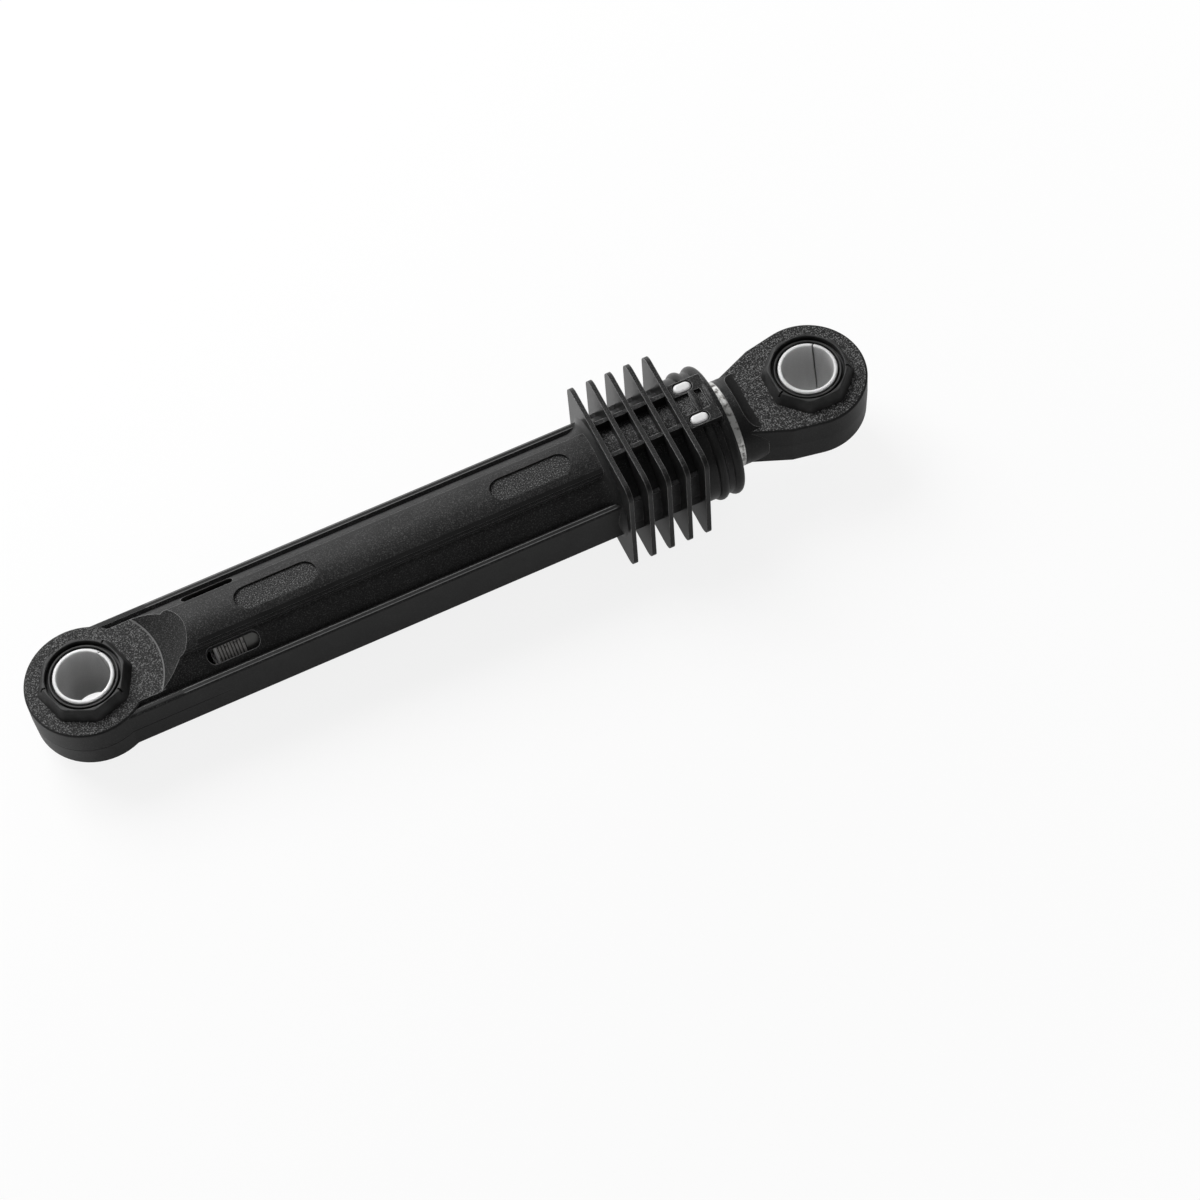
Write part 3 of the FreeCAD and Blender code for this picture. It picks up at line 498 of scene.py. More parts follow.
def nylon_material(props):
    """Glass-filled nylon, injection moulded in a spark-eroded mould.

    Flat faces carry a pebbled grain whose tips are painted pale, a painted sparkle; drawn walls
    are smoother, and the fins and the borders of the strip are the smoothest. Edges are slightly
    round and carry a painted highlight, as do lines along the rail tops and the lower plate's
    rim. A fine dark line on the lower eye marks where the mould halves meet.
    """
    cloud_mm = 9.0
    cloud_share = 0.05
    tip_low, tip_high = 0.5, 0.77
    relief_mm = 0.14
    seam_depth = -4.0
    wall_roughness = 0.44
    grain_roughness = 0.12
    fin_polish = -0.14
    border_polish = -0.24
    material, tree = new_material("glass_filled_nylon_moulded")
    coords = add_node(tree, "ShaderNodeTexCoord")
    facing = add_node(tree, "ShaderNodeSeparateXYZ", links={0: coords.outputs["Normal"]})
    place = coordinates_mm(tree)
    axes = add_node(tree, "ShaderNodeSeparateXYZ", links={0: place})
    length = axes.outputs["X"]
    side = add_node(tree, "ShaderNodeMath", {"operation": "ABSOLUTE"}, {0: axes.outputs["Y"]})
    height = add_node(tree, "ShaderNodeMath", {"operation": "ABSOLUTE"}, {0: axes.outputs["Z"]})

    borders = strip_borders(tree, length, side, height)
    off_borders = add_node(tree, "ShaderNodeMath", {"operation": "SUBTRACT", 0: 1.0}, {1: borders})
    grained = grain_depth(tree, length, height, facing)
    depth = add_node(
        tree, "ShaderNodeMath", {"operation": "MULTIPLY"}, {0: grained, 1: off_borders}
    )
    # The real grain is about 0.1 mm wide; it is drawn half as wide again, so that it shows.
    # One pebble is about half of a noise period.
    period_mm = 2 * props.grain / MM
    pebbles = add_node(
        tree, "ShaderNodeTexNoise", {"Scale": 1 / period_mm, "Detail": 2.0, "Roughness": 0.6},
        {"Vector": place}
    )
    grain = add_node(tree, "ShaderNodeMath", {"operation": "MULTIPLY"}, {0: pebbles, 1: depth})
    seam_height = band(tree, axes.outputs["Z"], SEAM_HEIGHTS, soft=0.1)
    seam_length = band(tree, length, LOWER_EYE_LENGTHS, soft=15.0)
    seam = add_node(
        tree, "ShaderNodeMath", {"operation": "MULTIPLY"}, {0: seam_height, 1: seam_length}
    )
    relief = add_node(
        tree, "ShaderNodeMath", {"operation": "MULTIPLY_ADD", 1: seam_depth}, {0: seam, 2: grain}
    )
    # The real edges are about 0.2 mm round; they are drawn half as wide again, so that they show
    rounded = add_node(tree, "ShaderNodeBevel", {"samples": 6, "Radius": props.edge})
    bump = add_node(
        tree, "ShaderNodeBump", {"Strength": 1.0, "Distance": relief_mm * MM},
        {"Height": relief, "Normal": rounded}
    )

    # Painted highlights: pale colour along outer edges, the rail tops and the lower plate's rim
    edges = painted_edge_highlights(tree, rounded, length, height)
    lines = painted_highlight_lines(tree, length, side, height)
    painted_lines = add_node(tree, "ShaderNodeMath", {"operation": "ADD"}, {0: lines, 1: edges})
    # The real grain's tips are painted pale, a painted sparkle
    tips = add_node(
        tree, "ShaderNodeMapRange", {"From Min": tip_low, "From Max": tip_high}, {"Value": pebbles}
    )
    painted_grain_sparkle = add_node(tree, "ShaderNodeMath", {"operation": "MULTIPLY"}, {0: tips, 1: depth})
    highlight_share = add_node(tree, "ShaderNodeMath", {"operation": "MAXIMUM"}, {0: painted_lines, 1: painted_grain_sparkle})
    clouds = add_node(
        tree, "ShaderNodeTexNoise", {"Scale": 1 / cloud_mm, "Detail": 3.0}, {"Vector": place}
    )
    lighter = add_node(
        tree, "ShaderNodeMath", {"operation": "MULTIPLY_ADD", 1: cloud_share}, {0: clouds, 2: highlight_share}
    )
    surface = add_node(
        tree, "ShaderNodeMix",
        {"data_type": "RGBA", "A": opaque(props.nylon), "B": opaque(props.nylon_highlight_and_clouds)},
        {"Factor": lighter}
    )
    colour = add_node(
        tree, "ShaderNodeMix", {"data_type": "RGBA", "B": opaque(props.nylon_seam)},
        {"Factor": seam, "A": surface.outputs["Result"]}
    )
    dull = add_node(
        tree, "ShaderNodeMath",
        {"operation": "MULTIPLY_ADD", 1: grain_roughness, 2: wall_roughness}, {0: depth}
    )
    fins = band(tree, length, FIN_AND_COLLAR_LENGTHS, soft=0.5)
    sleek = add_node(
        tree, "ShaderNodeMath", {"operation": "MULTIPLY_ADD", 1: fin_polish}, {0: fins, 2: dull}
    )
    roughness = add_node(
        tree, "ShaderNodeMath", {"operation": "MULTIPLY_ADD", 1: border_polish},
        {0: borders, 2: sleek}
    )
    shader = add_node(
        tree, "ShaderNodeBsdfPrincipled", {"IOR": 1.53, "Specular IOR Level": 0.12},
        {"Base Color": colour.outputs["Result"], "Roughness": roughness, "Normal": bump}
    )
    finish_material(tree, shader)
    return material


def rubber_material(props):
    """Nitrile rubber, compression moulded: matt black, with a faint pale bloom and a fine skin."""
    bloom_mm = 3.5
    # The real skin is finer; it is drawn half a millimetre wide, so that it shows
    skin_mm = 0.5
    relief_mm = 0.02
    bloom_low, bloom_high = 0.42, 0.75
    smoothest, roughest = 0.46, 0.62
    material, tree = new_material("nitrile_rubber_moulded")
    place = coordinates_mm(tree)
    bloom = add_node(
        tree, "ShaderNodeTexNoise", {"Scale": 1 / bloom_mm, "Detail": 5.0}, {"Vector": place}
    )
    patches = add_node(
        tree, "ShaderNodeMapRange", {"From Min": bloom_low, "From Max": bloom_high},
        {"Value": bloom}
    )
    colour = add_node(
        tree, "ShaderNodeMix",
        {"data_type": "RGBA", "A": opaque(props.rubber), "B": opaque(props.rubber_bloom)},
        {"Factor": patches}
    )
    skin = add_node(
        tree, "ShaderNodeTexNoise", {"Scale": 1 / skin_mm, "Detail": 3.0}, {"Vector": place}
    )
    bump = add_node(
        tree, "ShaderNodeBump", {"Strength": 1.0, "Distance": relief_mm * MM}, {"Height": skin}
    )
    roughness = add_node(
        tree, "ShaderNodeMapRange", {"To Min": smoothest, "To Max": roughest}, {"Value": bloom}
    )
    shader = add_node(
        tree, "ShaderNodeBsdfPrincipled", {"IOR": 1.52, "Specular IOR Level": 0.35},
        {"Base Color": colour.outputs["Result"], "Roughness": roughness, "Normal": bump}
    )
    finish_material(tree, shader)
    return material


def acetal_material(props):
    """White acetal, injection moulded: smooth and waxy, with soft edges and faint flow marks."""
    flow_mm = 2.5
    relief_mm = 0.008
    shade_reach_mm = 14.0
    shade_start, shade_full = 0.7, 0.25
    smoothest, roughest = 0.28, 0.42
    glow_mm = 1.5
    # Red, green and blue light pass equally far into a white plastic
    glow_reaches = (1.0, 1.0, 1.0)
    material, tree = new_material("white_acetal_moulded")
    place = coordinates_mm(tree)
    flow = add_node(
        tree, "ShaderNodeTexNoise", {"Scale": 1 / flow_mm, "Detail": 2.0, "Distortion": 0.6},
        {"Vector": place}
    )
    unshaded_acetal = add_node(
        tree, "ShaderNodeMix",
        {"data_type": "RGBA", "A": opaque(props.acetal), "B": opaque(props.acetal_shade)},
        {"Factor": flow}
    )
    # Painted shade: where the inside of a sleeve is sheltered, its colour is painted grey
    shelter = add_node(
        tree, "ShaderNodeAmbientOcclusion", {"samples": 8, "Distance": shade_reach_mm * MM}
    )
    inside = add_node(
        tree, "ShaderNodeMapRange", {"From Min": shade_start, "From Max": shade_full},
        {"Value": shelter.outputs["AO"]}
    )
    colour = add_node(
        tree, "ShaderNodeMix", {"data_type": "RGBA", "B": opaque(props.acetal_painted_shade)},
        {"Factor": inside, "A": unshaded_acetal.outputs["Result"]}
    )
    rounded = add_node(tree, "ShaderNodeBevel", {"samples": 6, "Radius": props.edge})
    bump = add_node(
        tree, "ShaderNodeBump", {"Strength": 1.0, "Distance": relief_mm * MM},
        {"Height": flow, "Normal": rounded}
    )
    roughness = add_node(
        tree, "ShaderNodeMapRange", {"To Min": smoothest, "To Max": roughest}, {"Value": flow}
    )
    shader = add_node(
        tree, "ShaderNodeBsdfPrincipled",
        {
            "IOR": 1.48, "Subsurface Weight": 1.0, "Subsurface Radius": glow_reaches,
            "Subsurface Scale": glow_mm * MM,
        },
        {"Base Color": colour.outputs["Result"], "Roughness": roughness, "Normal": bump}
    )
    finish_material(tree, shader)
    return material


def steel_material(props):
    """Drawn and oiled steel tube.

    It shows fine lines along the draw, faint rolled bands, a grey film where it slides and dark
    grease at its outer end.
    """
    # The real lines are finer; they are drawn about a third of a millimetre wide, so that they show
    line_mm = 0.35
    # Squeezes the pattern's length, so that its lines are drawn out along the tube
    draw = (0.04, 1.0, 1.0)
    rolled_band_mm = 1.2083
    drop_mm = 1.6
    drop_low, drop_high = 0.5, 0.68
    wiped_share = 0.1
    relief_mm = 0.012
    smoothest, roughest = 0.38, 0.5
    material, tree = new_material("drawn_steel_oiled")
    place = coordinates_mm(tree)
    stretched = add_node(
        tree, "ShaderNodeVectorMath", {"operation": "MULTIPLY", 1: draw}, {0: place}
    )
    lines = add_node(
        tree, "ShaderNodeTexNoise", {"Scale": 1 / line_mm, "Detail": 2.0}, {"Vector": stretched}
    )
    oil = add_node(
        tree, "ShaderNodeTexNoise", {"Scale": 1 / drop_mm, "Detail": 4.0}, {"Vector": place}
    )
    drops = add_node(
        tree, "ShaderNodeMapRange", {"From Min": drop_low, "From Max": drop_high}, {"Value": oil}
    )
    # Grease drops gather where the tube stops against the collar, and are wiped off elsewhere
    axes = add_node(tree, "ShaderNodeSeparateXYZ", links={0: place})
    outer_end = band(tree, axes.outputs["X"], STEEL_OUTER_END_LENGTHS, soft=3.0)
    share = add_node(tree, "ShaderNodeMapRange", {"To Min": wiped_share}, {"Value": outer_end})
    patches = add_node(tree, "ShaderNodeMath", {"operation": "MULTIPLY"}, {0: drops, 1: share})
    # The length that slides in the linings keeps a grey film of grease
    filmed = add_node(
        tree, "ShaderNodeMix",
        {"data_type": "RGBA", "A": opaque(props.steel_film), "B": opaque(props.steel)},
        {"Factor": outer_end}
    )
    colour = add_node(
        tree, "ShaderNodeMix", {"data_type": "RGBA", "B": opaque(props.steel_dull)},
        {"Factor": patches, "A": filmed.outputs["Result"]}
    )
    bands = add_node(
        tree, "ShaderNodeTexWave",
        {
            "wave_type": "BANDS", "bands_direction": "X", "Scale": WAVE_PERIOD / rolled_band_mm,
            "Distortion": 1.2,
        },
        {"Vector": place}
    )
    relief = add_node(
        tree, "ShaderNodeMath", {"operation": "ADD"}, {0: lines, 1: bands.outputs["Fac"]}
    )
    bump = add_node(
        tree, "ShaderNodeBump", {"Strength": 1.0, "Distance": relief_mm * MM}, {"Height": relief}
    )
    roughness = add_node(
        tree, "ShaderNodeMapRange", {"To Min": smoothest, "To Max": roughest}, {"Value": patches}
    )
    shader = add_node(
        tree, "ShaderNodeBsdfPrincipled", {"Metallic": 1.0},
        {"Base Color": colour.outputs["Result"], "Roughness": roughness, "Normal": bump}
    )
    finish_material(tree, shader)
    return material


def ring_material(props):
    """Grey acetal, turned: satin rings, grease, painted groove shade and a painted chamfer
    highlight.
    """
    smear_mm = 0.8
    smear_low, smear_high = 0.5, 0.75
    groove_mm = 0.4
    groove_edge, groove_floor = 0.95, 0.6
    # The real tool marks are finer; they are drawn this far apart, so that they show
    tool_mark_mm = 0.377
    relief_mm = 0.01
    dry_roughness, greased_roughness = 0.42, 0.25
    material, tree = new_material("grey_acetal_turned")
    place = coordinates_mm(tree)
    grease = add_node(
        tree, "ShaderNodeTexNoise", {"Scale": 1 / smear_mm, "Detail": 3.0}, {"Vector": place}
    )
    smears = add_node(
        tree, "ShaderNodeMapRange", {"From Min": smear_low, "From Max": smear_high},
        {"Value": grease}
    )
    # Painted shade: the sheltered floors of the turned grooves are painted as dark as the grease
    shelter = add_node(
        tree, "ShaderNodeAmbientOcclusion",
        {"samples": 6, "only_local": True, "Distance": groove_mm * MM}
    )
    painted_groove_shade = add_node(
        tree, "ShaderNodeMapRange", {"From Min": groove_edge, "From Max": groove_floor},
        {"Value": shelter.outputs["AO"]}
    )
    patches = add_node(tree, "ShaderNodeMath", {"operation": "MAXIMUM"}, {0: smears, 1: painted_groove_shade})
    smeared_and_shaded = add_node(
        tree, "ShaderNodeMix",
        {"data_type": "RGBA", "A": opaque(props.ring), "B": opaque(props.ring_grease_and_shade)},
        {"Factor": patches}
    )
    axes = add_node(tree, "ShaderNodeSeparateXYZ", links={0: place})
    # Painted highlight: a narrow band at the ring's chamfer is painted white
    chamfer = band(tree, axes.outputs["X"], RING_CHAMFER_LENGTHS, soft=0.1)
    colour = add_node(
        tree, "ShaderNodeMix", {"data_type": "RGBA", "B": opaque(props.acetal)},
        {"Factor": chamfer, "A": smeared_and_shaded.outputs["Result"]}
    )
    turning = add_node(
        tree, "ShaderNodeTexWave",
        {"wave_type": "BANDS", "bands_direction": "X", "Scale": WAVE_PERIOD / tool_mark_mm},
        {"Vector": place}
    )
    bump = add_node(
        tree, "ShaderNodeBump", {"Strength": 1.0, "Distance": relief_mm * MM},
        {"Height": turning.outputs["Fac"]}
    )
    roughness = add_node(
        tree, "ShaderNodeMapRange", {"To Min": dry_roughness, "To Max": greased_roughness},
        {"Value": patches}
    )
    shader = add_node(
        tree, "ShaderNodeBsdfPrincipled", {"IOR": 1.48},
        {"Base Color": colour.outputs["Result"], "Roughness": roughness, "Normal": bump}
    )
    finish_material(tree, shader)
    return material


def foam_material(props):
    """Open-celled foam soaked in grease: round cells and a wet look."""
    cell_mm = 0.6
    relief_mm = 0.15
    shade = 0.5
    material, tree = new_material("greased_foam_cut")
    place = coordinates_mm(tree)
    cells = add_node(tree, "ShaderNodeTexVoronoi", {"Scale": 1 / cell_mm}, {"Vector": place})
    colour = add_node(
        tree, "ShaderNodeMix",
        {
            "data_type": "RGBA", "A": opaque(props.foam),
            "B": opaque([part * shade for part in props.foam]),
        },
        {"Factor": cells.outputs["Distance"]}
    )
    bump = add_node(
        tree, "ShaderNodeBump", {"Strength": 1.0, "Distance": relief_mm * MM},
        {"Height": cells.outputs["Distance"]}
    )
    shader = add_node(
        tree, "ShaderNodeBsdfPrincipled", {"Roughness": 0.35},
        {"Base Color": colour.outputs["Result"], "Normal": bump}
    )
    finish_material(tree, shader)
    return material


class DAMPER_OT_mouldings(bpy.types.Operator):
    """Finish the black nylon housing and rod end"""

    bl_idname = "damper.mouldings"
    bl_label = "Nylon mouldings"

    def execute(self, context):
        apply_to_nodes(nylon_material(context.scene.damper_finishes), ("housing", "rod_end"))
        return {"FINISHED"}


class DAMPER_OT_acetal_pieces(bpy.types.Operator):
    """Finish the white sleeves, the guide cage and the grey stop ring"""

    bl_idname = "damper.acetal_pieces"
    bl_label = "Acetal pieces"

    def execute(self, context):
        props = context.scene.damper_finishes
        apply_to_nodes(acetal_material(props), ("lower_sleeve", "upper_sleeve", "guide_cage"))
        apply_to_nodes(ring_material(props), ("stop_ring",))
        return {"FINISHED"}


def add_ring(shape, sides, reach, height, cuts=0):
    """A level ring of edges round the eye's axis; cuts divide each of its sides."""
    known = set(shape.edges)
    bmesh.ops.create_circle(
        shape, segments=sides, radius=reach, matrix=Matrix.Translation((0, 0, height))
    )
    if cuts:
        made = [edge for edge in shape.edges if edge not in known]
        bmesh.ops.subdivide_edges(shape, edges=made, cuts=cuts)
    return [edge for edge in shape.edges if edge not in known]


def bush_section(shape, props, face, top):
    """The bush's upper half, ring by ring from the core over the collar and the lip to the bore."""
    points = props.sides * (SIDE_POINTS + 1)
    top_corner = props.corner_reach - props.collar_draw / math.cos(math.pi / props.sides)
    floor = top - props.groove_depth
    lip_inside = props.lip_reach - props.lip_width
    lip_top = floor + props.lip_rise
    # Level rings slope by the gap: two rings in one plane may be bridged the wrong way round
    gap = props.collar_gap
    rings = [
        add_ring(shape, points, props.core_reach, 0),
        add_ring(shape, points, props.core_reach, face - gap),
        add_ring(shape, props.sides, props.corner_reach, face + gap, SIDE_POINTS),
        add_ring(shape, props.sides, top_corner, top, SIDE_POINTS),
        add_ring(shape, points, props.groove_reach, top - gap),
        add_ring(shape, points, props.groove_reach, floor + gap),
        add_ring(shape, points, props.lip_reach, floor),
        add_ring(shape, points, props.lip_reach, lip_top),
        add_ring(shape, points, lip_inside, lip_top - gap),
        add_ring(shape, points, lip_inside, floor),
        add_ring(shape, points, props.bore_reach, floor - gap),
        add_ring(shape, points, props.bore_reach, 0),
    ]
    for outer, inner in zip(rings, rings[1:]):
        bmesh.ops.bridge_loops(shape, edges=outer + inner)


def round_edges(shape, reach, lowest_rise, highest_rise):
    """Rounds the sharp edges whose two ends differ in height by a rise within the given ones."""
    sharp = math.radians(30)
    bmesh.ops.recalc_face_normals(shape, faces=shape.faces)
    edges = []
    for edge in shape.edges:
        rise = abs(edge.verts[0].co.z - edge.verts[1].co.z)
        if len(edge.link_faces) == 2 and lowest_rise <= rise < highest_rise:
            if edge.calc_face_angle() > sharp:
                edges.append(edge)
    bmesh.ops.bevel(
        shape, geom=edges, offset=reach, offset_type="OFFSET", affect="EDGES", segments=3,
        profile=0.5, material=-1, clamp_overlap=True
    )


def cut_slit(shape, props, face, top):
    """A slit in the corner that lies on the X axis."""
    half = props.slit_width / 2
    floor = top - props.slit_depth
    near = props.groove_reach + props.edge_round
    planes = (
        ((0, 0, floor), (0, 0, 1)),
        ((near, 0, 0), (1, 0, 0)),
        ((0, half, 0), (0, 1, 0)),
        ((0, -half, 0), (0, 1, 0)),
    )
    for place, normal in planes:
        corner = [
            f for f in shape.faces
            if f.calc_center_median().z > face and f.calc_center_median().x > 0
        ]
        geometry = {part for f in corner for part in (f, *f.edges, *f.verts)}
        bmesh.ops.bisect_plane(
            shape, geom=list(geometry), dist=CUT_MERGE, plane_co=place, plane_no=normal
        )
    slit_faces = []
    for one in shape.faces:
        centre = one.calc_center_median()
        if abs(centre.y) < half and centre.x > near and centre.z > floor:
            slit_faces.append(one)
    sunk = bmesh.ops.extrude_face_region(shape, geom=slit_faces)
    verts = [part for part in sunk["geom"] if isinstance(part, bmesh.types.BMVert)]
    bmesh.ops.scale(shape, verts=verts, vec=(1, 1, 0), space=Matrix.Translation((0, 0, -floor)))
    bmesh.ops.delete(shape, geom=[f for f in slit_faces if f.is_valid], context="FACES_ONLY")
    bmesh.ops.remove_doubles(shape, verts=shape.verts, dist=CUT_MERGE)


def model_bush(name, props, place, turn, body, material):
    """A rubber bush: a core in the eye, an eight-sided collar on each face and a lipped groove."""
    level_most = 0.2 * MM
    smooth_most = math.radians(32)
    _, node_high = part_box(name)
    shape = bmesh.new()
    bush_section(shape, props, props.eye_face, node_high.z)
    # Corners and level edges are rounded apart: the narrow top would hold the corners' round back
    round_edges(shape, props.corner_round, level_most, node_high.z)
    round_edges(shape, props.edge_round, 0, level_most)
    for corner in SLIT_CORNERS:
        there = Matrix.Rotation(math.radians(corner), 3, "Z")
        bmesh.ops.rotate(shape, verts=shape.verts, cent=(0, 0, 0), matrix=there.inverted())
        cut_slit(shape, props, props.eye_face, node_high.z)
        bmesh.ops.rotate(shape, verts=shape.verts, cent=(0, 0, 0), matrix=there)
    everything = shape.verts[:] + shape.edges[:] + shape.faces[:]
    bmesh.ops.mirror(
        shape, geom=everything, matrix=Matrix.Identity(4), axis="Z", merge_dist=MIRROR_MERGE
    )
    bmesh.ops.recalc_face_normals(shape, faces=shape.faces)
    bmesh.ops.rotate(shape, verts=shape.verts, cent=(0, 0, 0), matrix=Matrix.Rotation(turn, 3, "Z"))
    bmesh.ops.translate(shape, verts=shape.verts, vec=place)
    mesh = bpy.data.meshes.new(name + "_rubber")
    shape.to_mesh(mesh)
    shape.free()
    mesh.shade_smooth()
    mesh.set_sharp_from_angle(angle=smooth_most)
    mesh.materials.append(material)
    bush = bpy.data.objects.new(name + "_rubber", mesh)
    bpy.context.scene.collection.objects.link(bush)
    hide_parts(name)
    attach(bush, body)


class DAMPER_OT_bushes(bpy.types.Operator):
    """Model the rubber bushes of both eyes"""

    bl_idname = "damper.bushes"
    bl_label = "Rubber bushes"

    def execute(self, context):
        props = context.scene.damper_bush
        rubber = rubber_material(context.scene.damper_finishes)
        model_bush("lower_bush", props, LOWER_EYE, props.lower_turn, HOUSING_BODY, rubber)
        model_bush("upper_bush", props, UPPER_EYE, props.upper_turn, PLUNGER_BODY, rubber)
        return {"FINISHED"}


class DAMPER_OT_plunger_tube(bpy.types.Operator):
    """Finish the drawn steel tube"""

    bl_idname = "damper.plunger_tube"
    bl_label = "Plunger tube"

    def execute(self, context):
        apply_to_nodes(steel_material(context.scene.damper_finishes), ("plunger_tube",))
        return {"FINISHED"}


class DAMPER_OT_linings(bpy.types.Operator):
    """Finish the friction linings inside the guide cage"""

    bl_idname = "damper.linings"
    bl_label = "Friction linings"

    def execute(self, context):
        names = ("friction_lining_top", "friction_lining_bottom")
        apply_to_nodes(foam_material(context.scene.damper_finishes), names)
        return {"FINISHED"}


def floor_contacts():
    """The two points that the damper lies on: the first fin's foot, and the next to touch."""
    level_within = 0.01 * MM
    points = [
        vert.co for name in ("housing", "lower_sleeve")
        for vert in frame["nodes"][name].data.vertices
    ]
    lowest = min(point.z for point in points)
    fin = min(
        (point for point in points if point.z < lowest + level_within), key=lambda point: point.x
    )
    left = [point for point in points if point.x < fin.x - MM]
    tube = min(left, key=lambda point: (point.z - fin.z) / (fin.x - point.x))
    return Vector((tube.x, 0, tube.z)), Vector((fin.x, 0, fin.z))


def paper_material(props):
    """White studio paper, matt: takes the damper's soft shadow and turns plain white far off."""
    material, tree = new_material("white_studio_paper")
    coords = add_node(tree, "ShaderNodeTexCoord")
    distance = add_node(
        tree, "ShaderNodeVectorMath", {"operation": "LENGTH"}, {0: coords.outputs["Object"]}
    )
    near, far = FLOOR_FADE
    white_share = add_node(
        tree, "ShaderNodeMapRange",
        {
            "interpolation_type": "SMOOTHSTEP", "From Min": near, "From Max": far,
            "To Min": props.floor_white,
        },
        {"Value": distance.outputs["Value"]}
    )
    # Camera rays see the white paper, and so do mirrored and transmitted ones, more faintly
    path = add_node(tree, "ShaderNodeLightPath")
    passed_on = add_node(
        tree, "ShaderNodeMath", {"operation": "MAXIMUM"},
        {0: path.outputs["Is Glossy Ray"], 1: path.outputs["Is Transmission Ray"]}
    )
    fainter = add_node(
        tree, "ShaderNodeMath", {"operation": "MULTIPLY", 1: MIRRORED_WHITE}, {0: passed_on}
    )
    seen = add_node(
        tree, "ShaderNodeMath", {"operation": "MAXIMUM"},
        {0: path.outputs["Is Camera Ray"], 1: fainter}
    )
    share = add_node(tree, "ShaderNodeMath", {"operation": "MULTIPLY"}, {0: white_share, 1: seen})
    paper = add_node(tree, "ShaderNodeBsdfDiffuse", {"Color": opaque(props.floor)})
    white = add_node(tree, "ShaderNodeEmission", {"Color": opaque(linear(WHITE)), "Strength": 1.0})
    mixed = add_node(tree, "ShaderNodeMixShader", links={0: share, 1: paper, 2: white})
    finish_material(tree, mixed)
    return material


def add_floor(props):
    """A pale floor under the damper's two contacts."""
    tube, fin = floor_contacts()
    slope = math.atan2(tube.z - fin.z, fin.x - tube.x)
    mesh = bpy.data.meshes.new("floor")
    shape = bmesh.new()
    bmesh.ops.create_grid(shape, x_segments=1, y_segments=1, size=FLOOR_HALF_WIDTH)
    shape.to_mesh(mesh)
    shape.free()
    mesh.materials.append(paper_material(props))
    floor = bpy.data.objects.new("floor", mesh)
    floor.matrix_world = Matrix.Translation(tube) @ Matrix.Rotation(slope, 4, "Y")
    bpy.context.scene.collection.objects.link(floor)


def add_world(scene, props):
    """An even pale studio, seen by the camera as plain white."""
    world = bpy.data.worlds.new("studio")
    world.use_nodes = True
    tree = world.node_tree
    tree.nodes.clear()
    path = add_node(tree, "ShaderNodeLightPath")
    strength = add_node(
        tree, "ShaderNodeMapRange", {"To Min": props.ambient, "To Max": 1.0},
        {"Value": path.outputs["Is Camera Ray"]}
    )
    soft = add_node(
        tree, "ShaderNodeBackground", {"Color": opaque(linear(WHITE))}, {"Strength": strength}
    )
    add_node(tree, "ShaderNodeOutputWorld", links={"Surface": soft})
    scene.world = world


def add_softbox(name, target, offset, size, power):
    """A rectangular softbox that faces the target."""
    light = bpy.data.lights.new(name, "AREA")
    light.shape = "RECTANGLE"
    light.size, light.size_y = size
    light.energy = power
    lamp = bpy.data.objects.new(name, light)
    turn = (-offset).to_track_quat("-Z", "Y").to_matrix().to_4x4()
    lamp.matrix_world = Matrix.Translation(target + offset) @ turn
    bpy.context.scene.collection.objects.link(lamp)


def add_camera(scene, props):
    """The photograph's viewpoint."""
    data = bpy.data.cameras.new("camera")
    data.lens = props.camera_lens
    data.sensor_width = SENSOR_WIDTH_MM
    data.clip_start = CAMERA_NEAREST
    azimuth, elevation = props.camera_azimuth, props.camera_elevation
    back = Vector((
        math.sin(azimuth) * math.cos(elevation),
        -math.cos(azimuth) * math.cos(elevation),
        math.sin(elevation),
    ))
    level = (-back).to_track_quat("-Z", "Y").to_matrix().to_4x4()
    camera = bpy.data.objects.new("camera", data)
    camera.matrix_world = (
        Matrix.Translation(props.camera_place) @ level @ Matrix.Rotation(props.camera_roll, 4, "Z")
    )
    scene.collection.objects.link(camera)
    scene.camera = camera


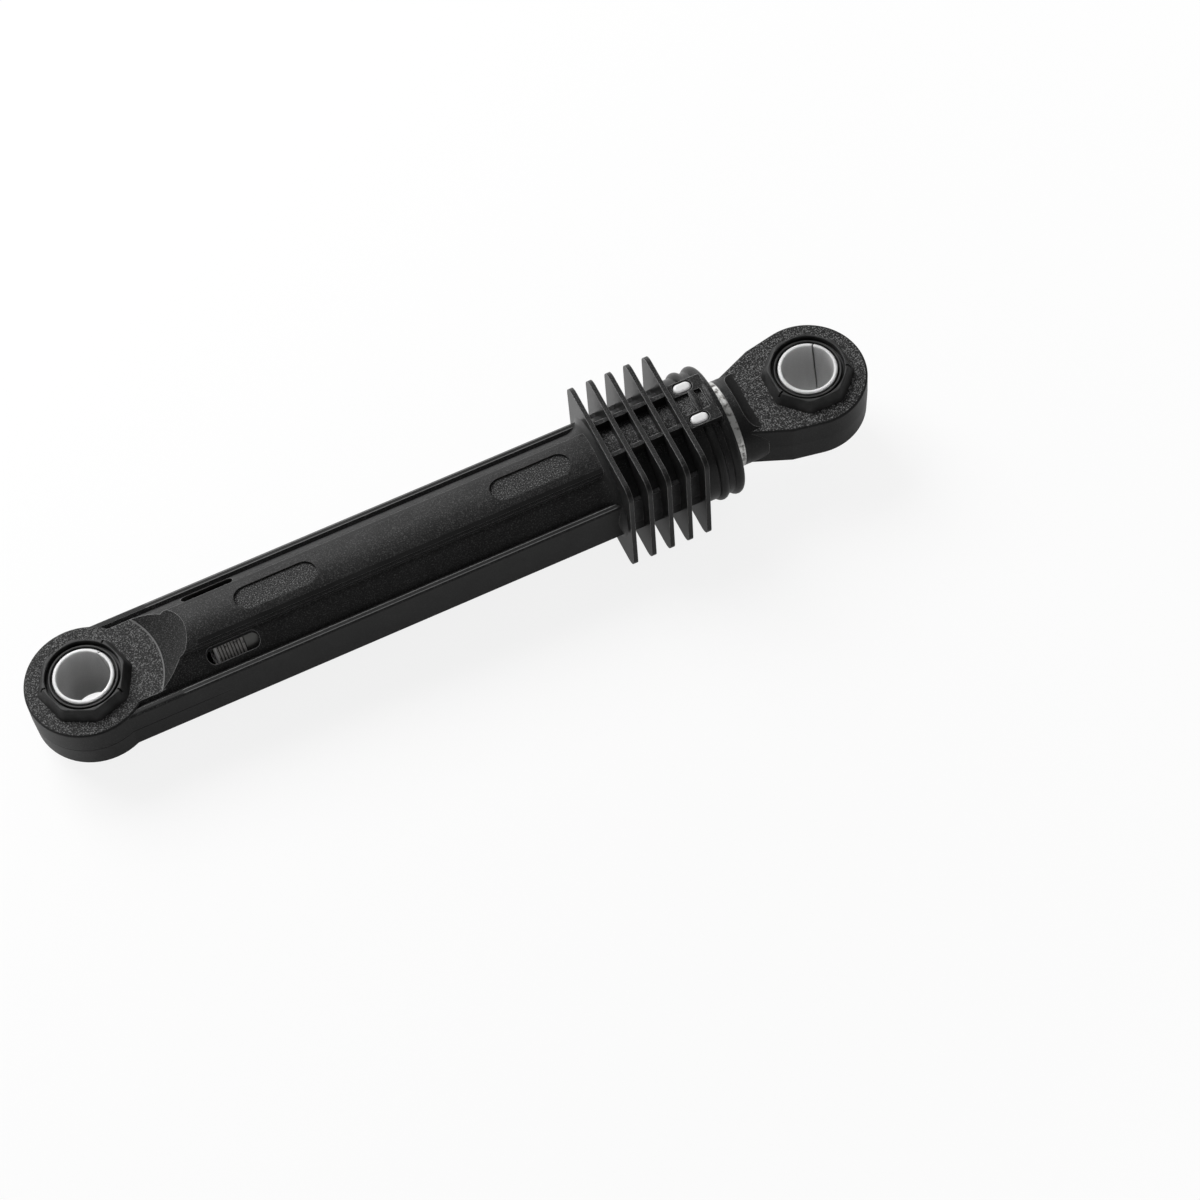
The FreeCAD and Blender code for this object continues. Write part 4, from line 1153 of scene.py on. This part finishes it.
class DAMPER_OT_stage(bpy.types.Operator):
    """Set the floor, the lights, the world and the camera"""

    bl_idname = "damper.stage"
    bl_label = "Studio"

    def execute(self, context):
        props = context.scene.damper_stage
        context.scene.view_settings.view_transform = "Standard"
        add_floor(props)
        add_world(context.scene, props)
        middle = (CAD_BOX[0] + CAD_BOX[1]) / 2
        for name, offset, size, power in SOFTBOXES:
            add_softbox(name, middle, Vector(offset), size, getattr(props, power))
        add_camera(context.scene, props)
        return {"FINISHED"}


class DAMPER_PT_panel(bpy.types.Panel):
    """Lists the damper's finishes and pieces"""

    bl_idname = "DAMPER_PT_panel"
    bl_label = "Shock absorber"
    bl_space_type = "VIEW_3D"
    bl_region_type = "UI"
    bl_category = "Damper"

    def draw(self, context):
        layout = self.layout
        for operator in OPERATORS:
            layout.operator(operator.bl_idname)
        for name in GROUPS:
            group = getattr(context.scene, name)
            box = layout.box()
            for prop in type(group).__annotations__:
                box.prop(group, prop)


OPERATORS = (
    DAMPER_OT_mouldings,
    DAMPER_OT_acetal_pieces,
    DAMPER_OT_bushes,
    DAMPER_OT_plunger_tube,
    DAMPER_OT_linings,
    DAMPER_OT_stage,
)
GROUPS = {
    "damper_finishes": DamperFinishes,
    "damper_bush": DamperBush,
    "damper_stage": DamperStage,
}


def register():
    """Registers the property groups, the operators and the panel."""
    for name, group in GROUPS.items():
        bpy.utils.register_class(group)
        setattr(bpy.types.Scene, name, PointerProperty(type=group))
    for operator in OPERATORS:
        bpy.utils.register_class(operator)
    bpy.utils.register_class(DAMPER_PT_panel)


def unregister():
    """Takes back what register added."""
    bpy.utils.unregister_class(DAMPER_PT_panel)
    for operator in reversed(OPERATORS):
        bpy.utils.unregister_class(operator)
    for name, group in GROUPS.items():
        delattr(bpy.types.Scene, name)
        bpy.utils.unregister_class(group)


def main():
    """Builds the looks and the studio."""
    register()
    bpy.ops.damper.mouldings()
    bpy.ops.damper.acetal_pieces()
    bpy.ops.damper.bushes()
    bpy.ops.damper.plunger_tube()
    bpy.ops.damper.linings()
    bpy.ops.damper.stage()


if __name__ == "__main__":
    main()
